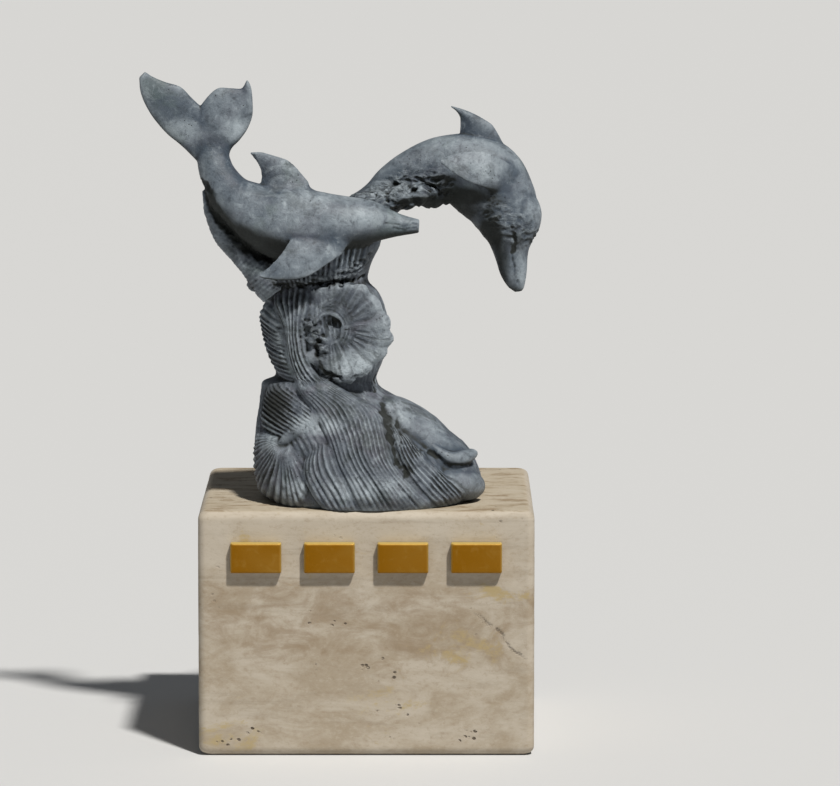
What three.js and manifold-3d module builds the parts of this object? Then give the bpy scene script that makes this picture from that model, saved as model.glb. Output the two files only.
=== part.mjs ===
// Two dolphins leaping from a breaking wave, carved from one block of grey marble, on a
// travertine plinth with four small brass plates.
// Millimetres, +Z up, the front towards -Y. The origin is the middle of the plinth's underside.
import * as THREE from "three";
import { mergeVertices } from "three/addons/utils/BufferGeometryUtils.js";
import Module from "manifold-3d";

// Driving sizes
const PLINTH_WIDTH = 1018;
const PLINTH_DEPTH = 950;
const PLINTH_HEIGHT = 750;
const PLINTH_EDGE_RADIUS = 28; // rounding along the top and bottom edges
const PLINTH_CORNER_RADIUS = 24; // rounding of the upright corners
const FIGURE_HEIGHT = 1312; // the marble group, from its bed to the top of the highest fluke
const FIGURE_OVERHANG = 20; // how far the foot reaches past the flat of the plinth's top, in front
const FIGURE_SHIFT = 8.5; // the group's middle to the right of the plinth's
const BED_GAP = 0.3; // stone resting on stone, and brass on stone
const PLATE_COUNT = 4;
const PLATE_WIDTH = 154;
const PLATE_HEIGHT = 92;
const PLATE_THICKNESS = 28;
const PLATE_SPACING = 68; // bare stone between two plates
const PLATE_DROP = 93; // from the plinth's top down to the plates' upper edge
const PLATE_CORNER_RADIUS = 5;
const PLATE_EDGE_RADIUS = 8; // rounding of the plates' front edges

// The group is a free form: its places and sizes below are shares of its height, in a unit of
// its own in which the highest fluke stands at FIGURE_TOP.
const FIGURE_TOP = 97.2;
const SHARE = FIGURE_HEIGHT / FIGURE_TOP;
const FOOT_REACH = 22.2; // from the group's own middle to the front of its foot
const SEAT = 0.6; // how deep a sheet's edges are let into the core

const wasm = await Module();
wasm.setup();

// A closed three.js geometry as a solid that can be joined and cut.
function solidOf(geometry) {
  geometry.deleteAttribute("normal");
  geometry.deleteAttribute("uv");
  const merged = mergeVertices(geometry, 1e-4);
  const vertProperties = new Float32Array(merged.attributes.position.array);
  const triVerts = new Uint32Array(merged.index.array);
  const make = () => new wasm.Manifold(new wasm.Mesh({ numProp: 3, vertProperties, triVerts }));
  const made = make();
  if (made.volume() > 0) return made;
  for (let i = 0; i < triVerts.length; i += 3) {
    [triVerts[i + 1], triVerts[i + 2]] = [triVerts[i + 2], triVerts[i + 1]];
  }
  return make();
}

// A solid with the sealed voids between its joined pieces filled, as in a block of stone.
function withoutVoids(solid) {
  const skins = solid.decompose().filter((shell) => shell.volume() > 0);
  return skins.reduce((whole, shell) => whole.add(shell));
}

// A solid as a three.js geometry.
function geometryOf(solid) {
  const mesh = solid.getMesh();
  const geometry = new THREE.BufferGeometry();
  geometry.setAttribute("position", new THREE.BufferAttribute(mesh.vertProperties, 3));
  geometry.setIndex(new THREE.BufferAttribute(mesh.triVerts, 1));
  geometry.computeVertexNormals();
  return geometry;
}

// A closed skin through rings of points: ringPoint(along, side) gives one, along from 0 to 1.
// It is a sphere's net with its rings moved, and its two poles close the ends.
function skin(ringPoint, rings, sides) {
  const net = new THREE.SphereGeometry(1, sides, rings + 1);
  const place = net.attributes.position;
  const row = sides + 1;
  for (let ring = 0; ring < rings; ring++) {
    const middle = new THREE.Vector3();
    for (let side = 0; side <= sides; side++) {
      const point = ringPoint(ring / (rings - 1), side % sides);
      place.setXYZ((ring + 1) * row + side, point.x, point.y, point.z);
      if (side < sides) middle.addScaledVector(point, 1 / sides);
    }
    if (ring > 0 && ring < rings - 1) continue;
    const pole = ring === 0 ? 0 : rings + 1;
    for (let side = 0; side <= sides; side++) {
      place.setXYZ(pole * row + side, middle.x, middle.y, middle.z);
    }
  }
  return solidOf(net);
}

// A smooth curve through points given as [x, y, z].
function smooth(points) {
  const corners = points.map((p) => new THREE.Vector3(p[0], p[1], p[2] ?? 0));
  return new THREE.CatmullRomCurve3(corners, false, "catmullrom", 0.5);
}

// A dolphin's body, from tail to beak. Each station is [x, y, z, half depth, half width].
function body(stations, rings = 22, sides = 10) {
  const spine = smooth(stations);
  const girth = smooth(stations.map((s) => [s[3], s[4]]));
  const side = new THREE.Vector3();
  const back = new THREE.Vector3();
  return skin(
    (along, index) => {
      const angle = (index / sides) * 2 * Math.PI;
      const run = spine.getTangent(along);
      const size = girth.getPoint(along);
      side.set(0, 1, 0).addScaledVector(run, -run.y).normalize();
      back.crossVectors(run, side);
      return spine
        .getPoint(along)
        .addScaledVector(back, size.x * Math.cos(angle))
        .addScaledVector(side, size.y * Math.sin(angle));
    },
    rings,
    sides,
  );
}

// A fin, a fluke's lobe or a blade of water, from root to tip. Each station is
// [leading edge x, y, z, trailing edge x, y, z, half thickness]. Keen edges make a lens of it.
// Ribs, where there are any, cross the blade.
function blade(stations, { rings = 7, sides = 8, keen = 0.5, ribs = 0, rib = 0 } = {}) {
  const lead = smooth(stations.map((s) => s.slice(0, 3)));
  const trail = smooth(stations.map((s) => s.slice(3, 6)));
  const thickness = smooth(stations.map((s) => [s[6], 0]));
  return skin(
    (along, index) => {
      const angle = (index / sides) * 2 * Math.PI;
      const front = lead.getPoint(along);
      const rear = trail.getPoint(along);
      const run = lead.getTangent(along).add(trail.getTangent(along));
      const chord = front.clone().sub(rear);
      const face = run.cross(chord).normalize();
      const swell = 1 + rib * Math.cos(2 * Math.PI * ribs * along);
      const across = Math.sin(angle);
      const rise = Math.sign(across) * Math.abs(across) ** (1 + keen) * thickness.getPoint(along).x;
      return front
        .add(rear)
        .multiplyScalar(0.5)
        .addScaledVector(chord, 0.5 * swell * Math.cos(angle))
        .addScaledVector(face, rise * swell);
    },
    rings,
    sides,
  );
}

// The wave's core, a stack of ovals. Each level is [z, middle x, half width, middle y, half depth].
const CORE = [
  [0, 0.2, 23.4, -0.3, 21.5],
  [2, -0.1, 25.5, -0.3, 21.8],
  [5, -0.5, 25.5, -0.4, 21.6],
  [9, -1.3, 24.9, -0.5, 20.4],
  [12.5, -2.3, 23.8, -0.6, 18.8],
  [16.5, -4.6, 21, -0.8, 16.9],
  [20.6, -7.1, 17.9, -1, 14.8],
  [24.5, -10.4, 14, -1.2, 12.6],
  [26.6, -11, 12.9, -1.4, 11.6],
  [28.2, -9.6, 11.5, -1.5, 10.6],
  [32, -9.3, 12.6, -1.8, 10.4],
  [38, -9.6, 13.7, -2.2, 10.6],
  [43, -10.2, 13.8, -2.6, 10.3],
  [47, -10.4, 12.4, -3, 9.2],
  [50, -12.4, 12, -3.6, 7.4],
  [54, -11.7, 12.1, -4.2, 6.9],
  [58, -9.6, 11.8, -4.8, 6.4],
  [62, -7.5, 10, -5.2, 5],
];
const coreLine = smooth(CORE.map((level) => [level[1], level[3], level[0]]));
const coreSize = smooth(CORE.map((level) => [level[2], level[4]]));

// How far along the core's levels a height is, from 0 at the bed to 1 at the top.
function coreShare(z) {
  const last = CORE.length - 1;
  let index = 0;
  while (index < last - 1 && z > CORE[index + 1][0]) index++;
  const inside = (z - CORE[index][0]) / (CORE[index + 1][0] - CORE[index][0]);
  return Math.min(1, Math.max(0, (index + inside) / last));
}

// The y of the core's surface above a place on its front (facing -1) or its back (facing 1).
function coreFace(x, z, facing) {
  const middle = coreLine.getPoint(coreShare(z));
  const size = coreSize.getPoint(coreShare(z));
  const off = Math.min(0.97, Math.abs(x - middle.x) / size.x);
  return middle.y + facing * size.y * Math.sqrt(1 - off * off);
}

function core(sides = 18) {
  return skin(
    (along, index) => {
      const angle = (index / sides) * 2 * Math.PI;
      const size = coreSize.getPoint(along);
      return coreLine
        .getPoint(along)
        .add(new THREE.Vector3(size.x * Math.cos(angle), size.y * Math.sin(angle), 0));
    },
    CORE.length,
    sides,
  );
}

// A fluted sheet of water laid on the core. The guides are lines of [x, z] places across it, and
// the flutes run from the first guide to the last. It lies on the core's face, or stands on a
// plane of its own at y = plane. A dish rises towards its last guide, and a rim is scalloped there.
function sheet(guides, options) {
  const { flutes, steps = 10, facing = -1, lift = 1, groove = 0.5, sink = 3 } = options;
  const { plane = null, dish = 0, rim = 0, perFlute = 2 } = options;
  const lines = guides.map(smooth);
  const across = flutes * perFlute;
  const backs = 3;
  return skin(
    (along, index) => {
      const onFace = index <= across;
      const share = onFace ? index / across : 1 - (index - across) / (backs + 1);
      const flow = smooth(lines.map((line) => line.getPoint(share).toArray()));
      const place = flow.getPoint(along);
      const ridge = Math.abs(Math.sin(Math.PI * flutes * share));
      if (rim && onFace) {
        place.addScaledVector(flow.getTangent(along), rim * ridge * along ** 4);
      }
      const swell = Math.sqrt(Math.max(0, 1 - (2 * share - 1) ** 4));
      const ends = Math.min(1, 6 * along + 0.2, 6 * (1 - along) + 0.35);
      const ground = plane ?? coreFace(place.x, place.y, facing);
      const crest = swell * ends * (lift + SEAT + groove * (ridge - 1)) - SEAT;
      const rise = onFace ? crest + dish * along * along : -sink;
      return new THREE.Vector3(place.x, ground + facing * rise, place.y);
    },
    steps + 1,
    across + backs + 1,
  );
}

// Points on an arc about a centre, [x, z], from one angle to another, in degrees.
function arc(centre, radii, from, to) {
  return radii.map((radius, i) => {
    const angle = THREE.MathUtils.degToRad(from + ((to - from) * i) / (radii.length - 1));
    return [centre[0] + radius * Math.cos(angle), centre[1] + radius * Math.sin(angle)];
  });
}

// A roll of water along points [x, z, half thickness] on the core's face.
function roll(points, facing = -1, sides = 6) {
  const stations = points.map(([x, z, half]) => [x, coreFace(x, z, facing), z, half, half]);
  return body(stations, 7, sides);
}

// A rough ball of foam at [x, y, z], a little flattened, its knobs turned by its number.
function lump(at, radius, number) {
  return skin(
    (along, index) => {
      const fall = Math.PI * (0.12 + 0.76 * along);
      const angle = (index / 6) * 2 * Math.PI + number;
      const size = radius * (1 + 0.16 * Math.sin(3 * angle + 2 * number + 4 * along));
      return new THREE.Vector3(
        at[0] + size * Math.sin(fall) * Math.cos(angle),
        at[1] + size * Math.sin(fall) * Math.sin(angle),
        at[2] + 0.85 * size * Math.cos(fall),
      );
    },
    4,
    6,
  );
}

// The dolphin in front: its tail up on the left, its beak to the right.
function frontDolphin() {
  const depth = -9;
  return [
    body([
      [-36.3, -5, 83, 2.4, 1.2],
      [-35.4, -5, 79.4, 3.5, 2.5],
      [-34.2, -6, 74.4, 4, 3.5],
      [-31.1, -7, 69.3, 5.2, 4.8],
      [-26.4, -8, 66, 6.6, 6],
      [-21.5, -8.5, 63.7, 7.8, 7],
      [-15.6, depth, 63, 8.5, 7.4],
      [-10, depth, 63.1, 7.3, 7],
      [-4.3, depth, 63.6, 5.8, 6],
      [0.6, depth, 63.6, 4.8, 4.6],
      [3.5, depth, 63.3, 3.7, 3.4],
      [6.2, depth, 63, 2.7, 2.5],
      [8.9, depth, 62.8, 2, 2],
      [11.2, depth, 62.7, 1.5, 1.6],
    ]),
    // fluke, its left and its right lobe
    blade(
      [
        [-37.4, -5, 75.6, -36, -5, 87.6, 1.9],
        [-42.4, -5, 80.6, -39.9, -5, 91.3, 1.7],
        [-46, -5.2, 83.7, -42.3, -5.2, 93.7, 1.5],
        [-49.3, -5.6, 88, -45.9, -5.6, 94.9, 1.2],
        [-50.9, -6, 91.2, -48.3, -6, 95.9, 1],
        [-51.4, -6.4, 94.8, -50.1, -6.4, 97.2, 0.7],
      ],
      { rings: 8, sides: 10, keen: -0.35 },
    ),
    blade(
      [
        [-33, -5, 76.4, -39.4, -5, 87.4, 1.9],
        [-29.8, -5, 80.9, -36.5, -5, 91.3, 1.7],
        [-27.6, -4.8, 83.9, -34, -4.8, 93.4, 1.5],
        [-26.3, -4.6, 87.1, -31.1, -4.6, 93.4, 1.2],
        [-26.2, -4.4, 90.4, -28.8, -4.4, 93.3, 1],
        [-26.5, -4.4, 93.4, -27.9, -4.4, 94.4, 0.7],
        [-27.2, -4.4, 95.1, -27.6, -4.4, 95.2, 0.4],
      ],
      { rings: 8, sides: 10, keen: -0.35 },
    ),
    // dorsal fin
    blade([
      [-12, -8.6, 70.6, -25.5, -8.2, 70.2, 1.7],
      [-14.9, -8.4, 74.3, -24.3, -8, 72.9, 1.4],
      [-17.8, -8.2, 77.2, -24.4, -8, 75.2, 1.1],
      [-21.2, -8, 78.5, -25.2, -8, 77, 0.8],
      [-24.1, -8, 79.3, -26.2, -8, 78.4, 0.6],
      [-26.6, -8, 79.2, -26.8, -8, 79.1, 0.3],
    ]),
    // near and far pectoral fins
    blade([
      [-3, -12.5, 59.8, -15.1, -12, 65.8, 1.6],
      [-5.4, -15.6, 57.4, -16.3, -15.6, 62.8, 1.3],
      [-9.2, -17.2, 54.9, -18.1, -17.2, 59.6, 1.1],
      [-13.6, -18.2, 52.2, -20.1, -18, 56.8, 0.9],
      [-18.7, -18.6, 51.4, -22.5, -18.4, 54.4, 0.7],
      [-23.4, -19, 51.9, -24.7, -19, 52.6, 0.4],
    ]),
    blade(
      [
        [-3.5, -6, 59.5, -13, -5.5, 61.5, 1.6],
        [-4.5, -1.5, 56.5, -13, -1.5, 58.5, 1.2],
        [-8, 2.5, 53.5, -14.5, 2.5, 55.5, 0.9],
        [-14, 5.5, 51, -17, 5.2, 52.5, 0.5],
      ],
      { rings: 5 },
    ),
  ];
}

// The dolphin behind: its tail out of the wave, arching over to the right, its beak down.
function rearDolphin() {
  return [
    body([
      [-17, 3.4, 57.8, 2.2, 2.4],
      [-11, 3, 61, 2.4, 2.6],
      [-5.7, 2.6, 64.4, 2.7, 2.8],
      [0.7, 2.4, 68.3, 3, 3.4],
      [4.7, 2.7, 71.7, 3.7, 4],
      [9.3, 3, 74.2, 4.6, 5],
      [15.2, 3, 75.5, 6.3, 6.2],
      [21, 3, 74.5, 8.4, 7.4],
      [26, 2.5, 72, 9.3, 8],
      [29.3, 2, 67.8, 8.5, 7.6],
      [31, 1, 63.7, 7.3, 6.6],
      [31.7, 0.4, 60.2, 6, 5.2],
      [31.9, 0, 57.2, 4.4, 3.8],
      [32.2, -0.3, 54.4, 3.6, 3],
      [32.6, -0.5, 51.6, 3.1, 2.5],
      [33.1, -0.5, 49.4, 2.4, 2],
      [33.5, -0.5, 47.9, 1.6, 1.4],
      [33.6, -0.5, 47, 0.8, 0.8],
    ]),
    // the melon, swollen over the beak
    body(
      [
        [32.6, 1, 69, 4, 4.6],
        [33.9, 0.6, 65, 4.9, 5.2],
        [34.5, 0.2, 61.8, 4.2, 4.4],
        [34.8, 0, 59.4, 2.7, 3],
        [34.9, 0, 58.3, 1.2, 1.6],
      ],
      7,
      8,
    ),
    // fluke, lying on the back of the wave
    blade([
      [-14.5, 3, 61, -19.5, 4, 57, 1.6],
      [-18, 3, 62.5, -23.5, 4, 56.6, 1.4],
      [-22.5, 2.6, 62.8, -26, 3.4, 57.5, 1.2],
      [-26.5, 2.2, 61.6, -27.6, 2.6, 59.6, 0.8],
    ]),
    blade([
      [-11.5, 3, 58.5, -18, 4, 57.6, 1.6],
      [-9.5, 4.2, 54.5, -18, 4.8, 53, 1.4],
      [-9.5, 5.2, 50.5, -16, 5.6, 49, 1.2],
      [-11.5, 6.8, 47, -13.6, 7, 46.4, 0.9],
    ]),
    // dorsal fin
    blade([
      [30.2, 2.6, 80.6, 20.2, 2.6, 81, 1.7],
      [28.1, 2.4, 84.3, 20.4, 2.4, 84, 1.3],
      [25.6, 2.2, 86.1, 20.4, 2.2, 86.2, 1],
      [22.2, 2, 87.8, 19.6, 2, 87.6, 0.7],
      [18.4, 2, 89, 18.2, 2, 88.8, 0.3],
    ]),
    // near and far pectoral fins, folded back
    blade([
      [32.1, -3, 76.1, 30.1, -4, 69.2, 1.5],
      [26.7, -6.6, 79, 25.8, -8, 71.2, 1.2],
      [21.9, -7, 79.4, 21.3, -9, 73.1, 1],
      [18.3, -7, 78.5, 17.9, -9, 75.4, 0.8],
      [16.1, -7.4, 77.6, 15.9, -8.2, 76.9, 0.4],
    ]),
    blade(
      [
        [31.6, 8, 75, 30.1, 8, 68, 1.5],
        [26.7, 11.6, 76.5, 25.4, 12, 69.5, 1.2],
        [22, 12.6, 75.5, 20.9, 13, 69.8, 1],
        [17.4, 12.8, 72.6, 16.6, 13, 70.2, 0.5],
      ],
      { rings: 5 },
    ),
  ];
}

// Foam between the rear dolphin's tail and the front dolphin's head.
function foam() {
  const lumps = [
    [-2, -2, 66, 3.4],
    [1.6, -2.2, 66.6, 3],
    [4.4, -0.8, 67.2, 2.9],
    [8.2, -1.8, 68.4, 2.9],
    [9.4, 0.8, 71.2, 3],
    [12, -1, 69.4, 2.8],
    [14, 1.4, 68.9, 2.4],
    [9, 4.8, 69, 3],
  ];
  return lumps.map(([x, y, z, radius], number) => lump([x, y, z], radius, number));
}

// The curled crest below the front dolphin: a plume on the left and a dished shell on the right.
function crest() {
  const eye = [-8.6, 39.6];
  return [
    // the plume's barbs, on the left, and the flutes that rise through the waist beside them
    sheet(
      [
        [[-16.2, 27.4], [-17.6, 30.4], [-18.7, 34], [-19.4, 37.2], [-20.1, 40.3], [-21.7, 45.3]],
        [[-18.7, 27.2], [-20.2, 30.5], [-21.5, 34.3], [-22.2, 37.5], [-22.8, 40.6], [-22.1, 45.9]],
        [[-20.6, 27.7], [-22, 31.6], [-23.4, 35.2], [-24.2, 38.4], [-24.5, 41.6], [-22.6, 46.2]],
      ],
      { flutes: 7, steps: 3, lift: 1.7, groove: 0.9, sink: 4 },
    ),
    sheet(
      [
        [[-21, 47.8], [-17.5, 49], [-13.4, 48.7]],
        [[-20.4, 44.5], [-17, 45.3], [-13.6, 45.2]],
        [[-18.9, 40.7], [-16.9, 41.1], [-14.6, 40.9]],
        [[-18.2, 35.4], [-16.4, 35.6], [-14.3, 35.2]],
        [[-17.4, 31.3], [-15.4, 31.4], [-12.6, 30.9]],
        [[-16, 27.2], [-13.4, 27.6], [-9.6, 27.4]],
        [[-13.5, 23.3], [-10.4, 24], [-5.4, 24.4]],
      ],
      { flutes: 5, steps: 6, lift: 2.1, groove: 1.1 },
    ),
    sheet(
      [
        arc(eye, [1.4, 1.4, 1.4, 1.4, 1.4], -140, 128),
        arc(eye, [5, 6.2, 7.2, 6.6, 6], -140, 124),
        arc(eye, [8.6, 12.4, 13.8, 12.4, 10], -135, 118),
      ],
      { flutes: 8, steps: 3, lift: 1.4, groove: 0.35, sink: 8, plane: -12, dish: 0.9, rim: 0.5 },
    ),
    // the curl round the shell's eye
    body(
      [
        [-12.4, -13.2, 41.4, 0.5, 0.7],
        [-10.6, -13.4, 43.2, 0.8, 0.9],
        [-8.4, -13.6, 43.4, 0.9, 1],
        [-6.2, -13.7, 41.6, 0.9, 1],
        [-6.4, -13.7, 38.4, 0.8, 1],
        [-7.9, -13.5, 34.9, 0.7, 1],
        [-9, -13, 32.2, 0.5, 0.8],
      ],
      8,
      5,
    ),
    lump([-12.2, -13, 36.6], 1.5, 2),
    lump([-12.6, -12.6, 39.8], 1.4, 5),
    // the ruffle behind the plume's top and the flutes of the collar above it
    sheet(
      [
        [[-21, 48.4], [-12, 49.6], [-1.6, 50.4]],
        [[-22, 52.4], [-12, 53.5], [-0.2, 54.6]],
        [[-20, 58], [-11, 59], [1.6, 60]],
      ],
      { flutes: 6, steps: 2, lift: 1, groove: 0.9 },
    ),
    lump([-25.2, -6, 49.6], 2.2, 1),
    lump([-23.4, -7.6, 47.6], 2, 3),
  ];
}

// The ribbed blade of water that follows the front dolphin's belly up to its tail, and the stone
// between the two.
function wing() {
  return [
    blade(
      [
        [-17, -7, 52, -23.9, -7, 45.4, 4],
        [-22, -7.6, 54.6, -27, -7, 49.8, 3.4],
        [-26.6, -7, 57.8, -30.5, -6.4, 54.2, 2.8],
        [-30.4, -6.2, 61.6, -34.4, -5.8, 58.6, 2.3],
        [-33.8, -5.8, 66.2, -36.8, -5.4, 64.4, 1.8],
        [-35.8, -5.6, 71, -37.7, -5.4, 70.4, 1],
      ],
      { rings: 25, sides: 6, keen: 0, ribs: 12, rib: 0.06 },
    ),
    body(
      [
        [-16, -4.6, 54.5, 3, 2.5],
        [-22, -4.6, 56.2, 3, 2.5],
        [-27.4, -4.6, 60, 2.8, 2.5],
        [-31.6, -4.4, 64.6, 2.4, 2],
        [-34.6, -4.6, 70.5, 1.5, 1.3],
      ],
      6,
      5,
    ),
  ];
}

// The swell at the foot: long sweeps in the middle, a shell on the left, a shoulder on the right.
function swellFront() {
  const hinge = [-18.9, 14.9];
  return [
    sheet(
      [
        [[-17.9, 29.4], [-14.4, 30.2], [-10.6, 29.6]],
        [[-15.8, 25.3], [-10.6, 26.5], [-4.8, 25.6]],
        [[-12.4, 20.9], [-5.2, 22.5], [2.4, 21]],
        [[-9.6, 15.6], [-2.7, 17.4], [4.5, 15.9]],
        [[-7.6, 10], [-0.7, 11.4], [6.7, 10]],
        [[-5.1, 4.9], [2.9, 5.8], [11, 4.9]],
        [[-2.9, -0.5], [7.4, -0.6], [17.3, -1.1]],
      ],
      { flutes: 8, steps: 7, lift: 1.9, groove: 1.1 },
    ),
    sheet(
      [
        [[4.5, 17.3], [6.3, 17.8], [7.8, 17.1]],
        [[6, 11], [9.4, 12], [12.1, 11.6]],
        [[9.2, 5.6], [13.6, 6.9], [17.5, 7]],
        [[14.6, -0.6], [19.5, 0], [23, 1.2]],
      ],
      { flutes: 5, steps: 6, lift: 1.4, groove: 1 },
    ),
    // the shell on the left and the deep flutes above it
    sheet(
      [
        arc(hinge, [1.2, 1.2, 1.2, 1.2, 1.2], 160, 322),
        arc(hinge, [4, 5, 7.6, 8.2, 4.4], 165, 318),
        arc(hinge, [7.4, 9.4, 14, 16, 7.8], 168, 318),
      ],
      { flutes: 10, steps: 4, lift: 1.5, groove: 0.9, rim: 0.3 },
    ),
    sheet(
      [
        [[-25.4, 15.6], [-25.2, 21.7], [-23.6, 26], [-18.8, 27.6]],
        [[-22.9, 15], [-20.8, 19.5], [-18.3, 22.7], [-15.1, 24.4]],
        [[-19.2, 14.7], [-16.4, 17.2], [-13.5, 19.3], [-10.6, 21.1]],
      ],
      { flutes: 6, steps: 3, lift: 0.9, groove: 1 },
    ),
    sheet(
      [
        [[-14.1, 12.7], [-11.9, 13.9], [-8.8, 15.4]],
        [[-14.8, 7.8], [-11.4, 9], [-7, 9.8]],
        [[-12.8, 3.1], [-8.7, 3.8], [-4.4, 4.4]],
        [[-9.6, -0.8], [-6.3, -0.7], [-2, -0.6]],
      ],
      { flutes: 4, steps: 4, lift: 1.5, groove: 0.8 },
    ),
    roll([[-19.2, 14.6, 0.8], [-16.2, 16.7, 1.2], [-13, 19.2, 1.3], [-9.4, 22.2, 0.6]]),
    // the right shoulder
    body(
      [
        [-2, -3.4, 17.4, 6, 9],
        [4, -3.6, 18, 5.9, 9.4],
        [10.4, -4.2, 14.8, 5.9, 9.6],
        [14.6, -4.8, 11.3, 5.6, 9.6],
        [18.4, -5.2, 8, 5.2, 8.8],
        [20.6, -5.4, 4.4, 4.4, 8],
      ],
      7,
      10,
    ),
    // the lip that rolls over on the right shoulder, and the bulge below it
    body(
      [
        [13.6, -13.2, 14, 0.6, 0.7],
        [16.2, -13.8, 11.8, 1.2, 1.3],
        [18.8, -13.4, 10.6, 1.6, 1.8],
        [21.4, -11.4, 10.6, 1.7, 2],
        [23, -8.4, 11, 1.2, 1.8],
      ],
      6,
      8,
    ),
    body(
      [
        [10, -13.4, 6.4, 2.4, 3.4],
        [15.2, -12.4, 5.2, 3.8, 5],
        [19.8, -9, 4.4, 4.1, 5.4],
        [21.8, -4, 3.8, 3.4, 5],
      ],
      6,
      8,
    ),
  ];
}

// The back of the wave, plainer: three broad sweeps that rise from the foot to the collar.
function swellBack() {
  return [
    sheet(
      [
        [[-22, 0.4], [-6, 0]],
        [[-21.6, 12], [-7.4, 14]],
        [[-19.4, 24], [-9.4, 26]],
        [[-21, 38], [-11, 40]],
        [[-21.4, 50], [-14, 54]],
      ],
      { facing: 1, flutes: 4, steps: 5, lift: 1.6, groove: 0.8 },
    ),
    sheet(
      [
        [[-6.4, 0], [9, 0]],
        [[-7.6, 14], [3.6, 14.6]],
        [[-9.4, 26], [-1.4, 26.6]],
        [[-11, 40], [0.6, 40]],
        [[-13, 53], [-3, 52]],
      ],
      { facing: 1, flutes: 4, steps: 5, lift: 1.4, groove: 0.8 },
    ),
    sheet(
      [
        [[9.4, 0], [22, 0.6]],
        [[5.6, 12], [16.8, 12]],
        [[0.6, 23], [6, 22.4]],
      ],
      { facing: 1, flutes: 3, steps: 3, lift: 1.2, groove: 0.7 },
    ),
  ];
}

// The group as one solid, cut flat at its bed.
function dolphinGroup() {
  const pieces = [
    core(),
    ...swellFront(),
    ...swellBack(),
    ...crest(),
    ...wing(),
    ...frontDolphin(),
    ...rearDolphin(),
    ...foam(),
  ];
  const underBed = new THREE.BoxGeometry(80, 80, 10).translate(0, 0, -5);
  const carved = pieces.reduce((whole, piece) => whole.add(piece)).subtract(solidOf(underBed));
  return geometryOf(withoutVoids(carved)).scale(SHARE, SHARE, SHARE);
}

// A block standing on z = 0 with rounded upright corners and rounded lower and upper edges.
function softBlock(width, depth, height, corner, lower, upper, steps = 3) {
  const levels = [];
  for (let i = 0; i <= steps && lower > 0; i++) {
    const angle = (Math.PI / 2) * (i / steps);
    levels.push([lower * (1 - Math.cos(angle)), lower * (1 - Math.sin(angle))]);
  }
  if (!levels.length) levels.push([0, 0]);
  for (let i = 0; i <= steps; i++) {
    const angle = (Math.PI / 2) * (i / steps);
    levels.push([height - upper * (1 - Math.sin(angle)), upper * (1 - Math.cos(angle))]);
  }
  const perCorner = steps + 1;
  return skin(
    (along, index) => {
      const [z, inset] = levels[Math.round(along * (levels.length - 1))];
      const quarter = Math.floor(index / perCorner);
      const angle = (Math.PI / 2) * (quarter + (index % perCorner) / steps);
      const rightward = quarter === 0 || quarter === 3 ? 1 : -1;
      const backward = quarter < 2 ? 1 : -1;
      return new THREE.Vector3(
        rightward * (width / 2 - inset - corner) + corner * Math.cos(angle),
        backward * (depth / 2 - inset - corner) + corner * Math.sin(angle),
        z,
      );
    },
    levels.length,
    4 * perCorner,
  );
}

function plinth() {
  return geometryOf(
    softBlock(
      PLINTH_WIDTH,
      PLINTH_DEPTH,
      PLINTH_HEIGHT,
      PLINTH_CORNER_RADIUS,
      PLINTH_EDGE_RADIUS,
      PLINTH_EDGE_RADIUS,
    ),
  );
}

// A plate lying on its back, its rounded front up, turned to face the front.
function brassPlate() {
  const solid = softBlock(
    PLATE_WIDTH,
    PLATE_HEIGHT,
    PLATE_THICKNESS,
    PLATE_CORNER_RADIUS,
    0,
    PLATE_EDGE_RADIUS,
    2,
  );
  return geometryOf(solid).rotateX(Math.PI / 2);
}

const marble = new THREE.MeshStandardMaterial({ color: 0x8d9399, roughness: 0.6, metalness: 0 });
const travertine = new THREE.MeshStandardMaterial({ color: 0xd8cbb4, roughness: 0.7, metalness: 0 });
const brass = new THREE.MeshStandardMaterial({ color: 0xa87414, roughness: 0.45, metalness: 1 });

function named(name, geometry, material) {
  const mesh = new THREE.Mesh(geometry, material);
  mesh.name = name;
  return mesh;
}

const statue = new THREE.Group();
statue.add(named("plinth", plinth(), travertine));

const group = named("dolphin_group", dolphinGroup(), marble);
const flatFront = -PLINTH_DEPTH / 2 + PLINTH_EDGE_RADIUS;
group.position.set(FIGURE_SHIFT, flatFront - FIGURE_OVERHANG + FOOT_REACH * SHARE, PLINTH_HEIGHT + BED_GAP);
statue.add(group);

const platePitch = PLATE_WIDTH + PLATE_SPACING;
for (let i = 0; i < PLATE_COUNT; i++) {
  const plate = named("brass_plate_" + (i + 1), brassPlate(), brass);
  plate.position.set(
    (i - (PLATE_COUNT - 1) / 2) * platePitch,
    -PLINTH_DEPTH / 2 - BED_GAP,
    PLINTH_HEIGHT - PLATE_DROP - PLATE_HEIGHT / 2,
  );
  statue.add(plate);
}

export default statue;
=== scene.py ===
"""Two dolphins leaping from a breaking wave, carved from one block of grey marble, on a
travertine plinth with four small brass plates.

Metres, +Z up, the front towards -Y. The marble group is a free form, drawn in a unit of its own
in which its highest fluke stands at FIGURE_TOP.
"""

import math

import bmesh
import bpy
import numpy as np
from bpy.props import FloatProperty, FloatVectorProperty, IntProperty, PointerProperty
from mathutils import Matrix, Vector
from mathutils.kdtree import KDTree


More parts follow.
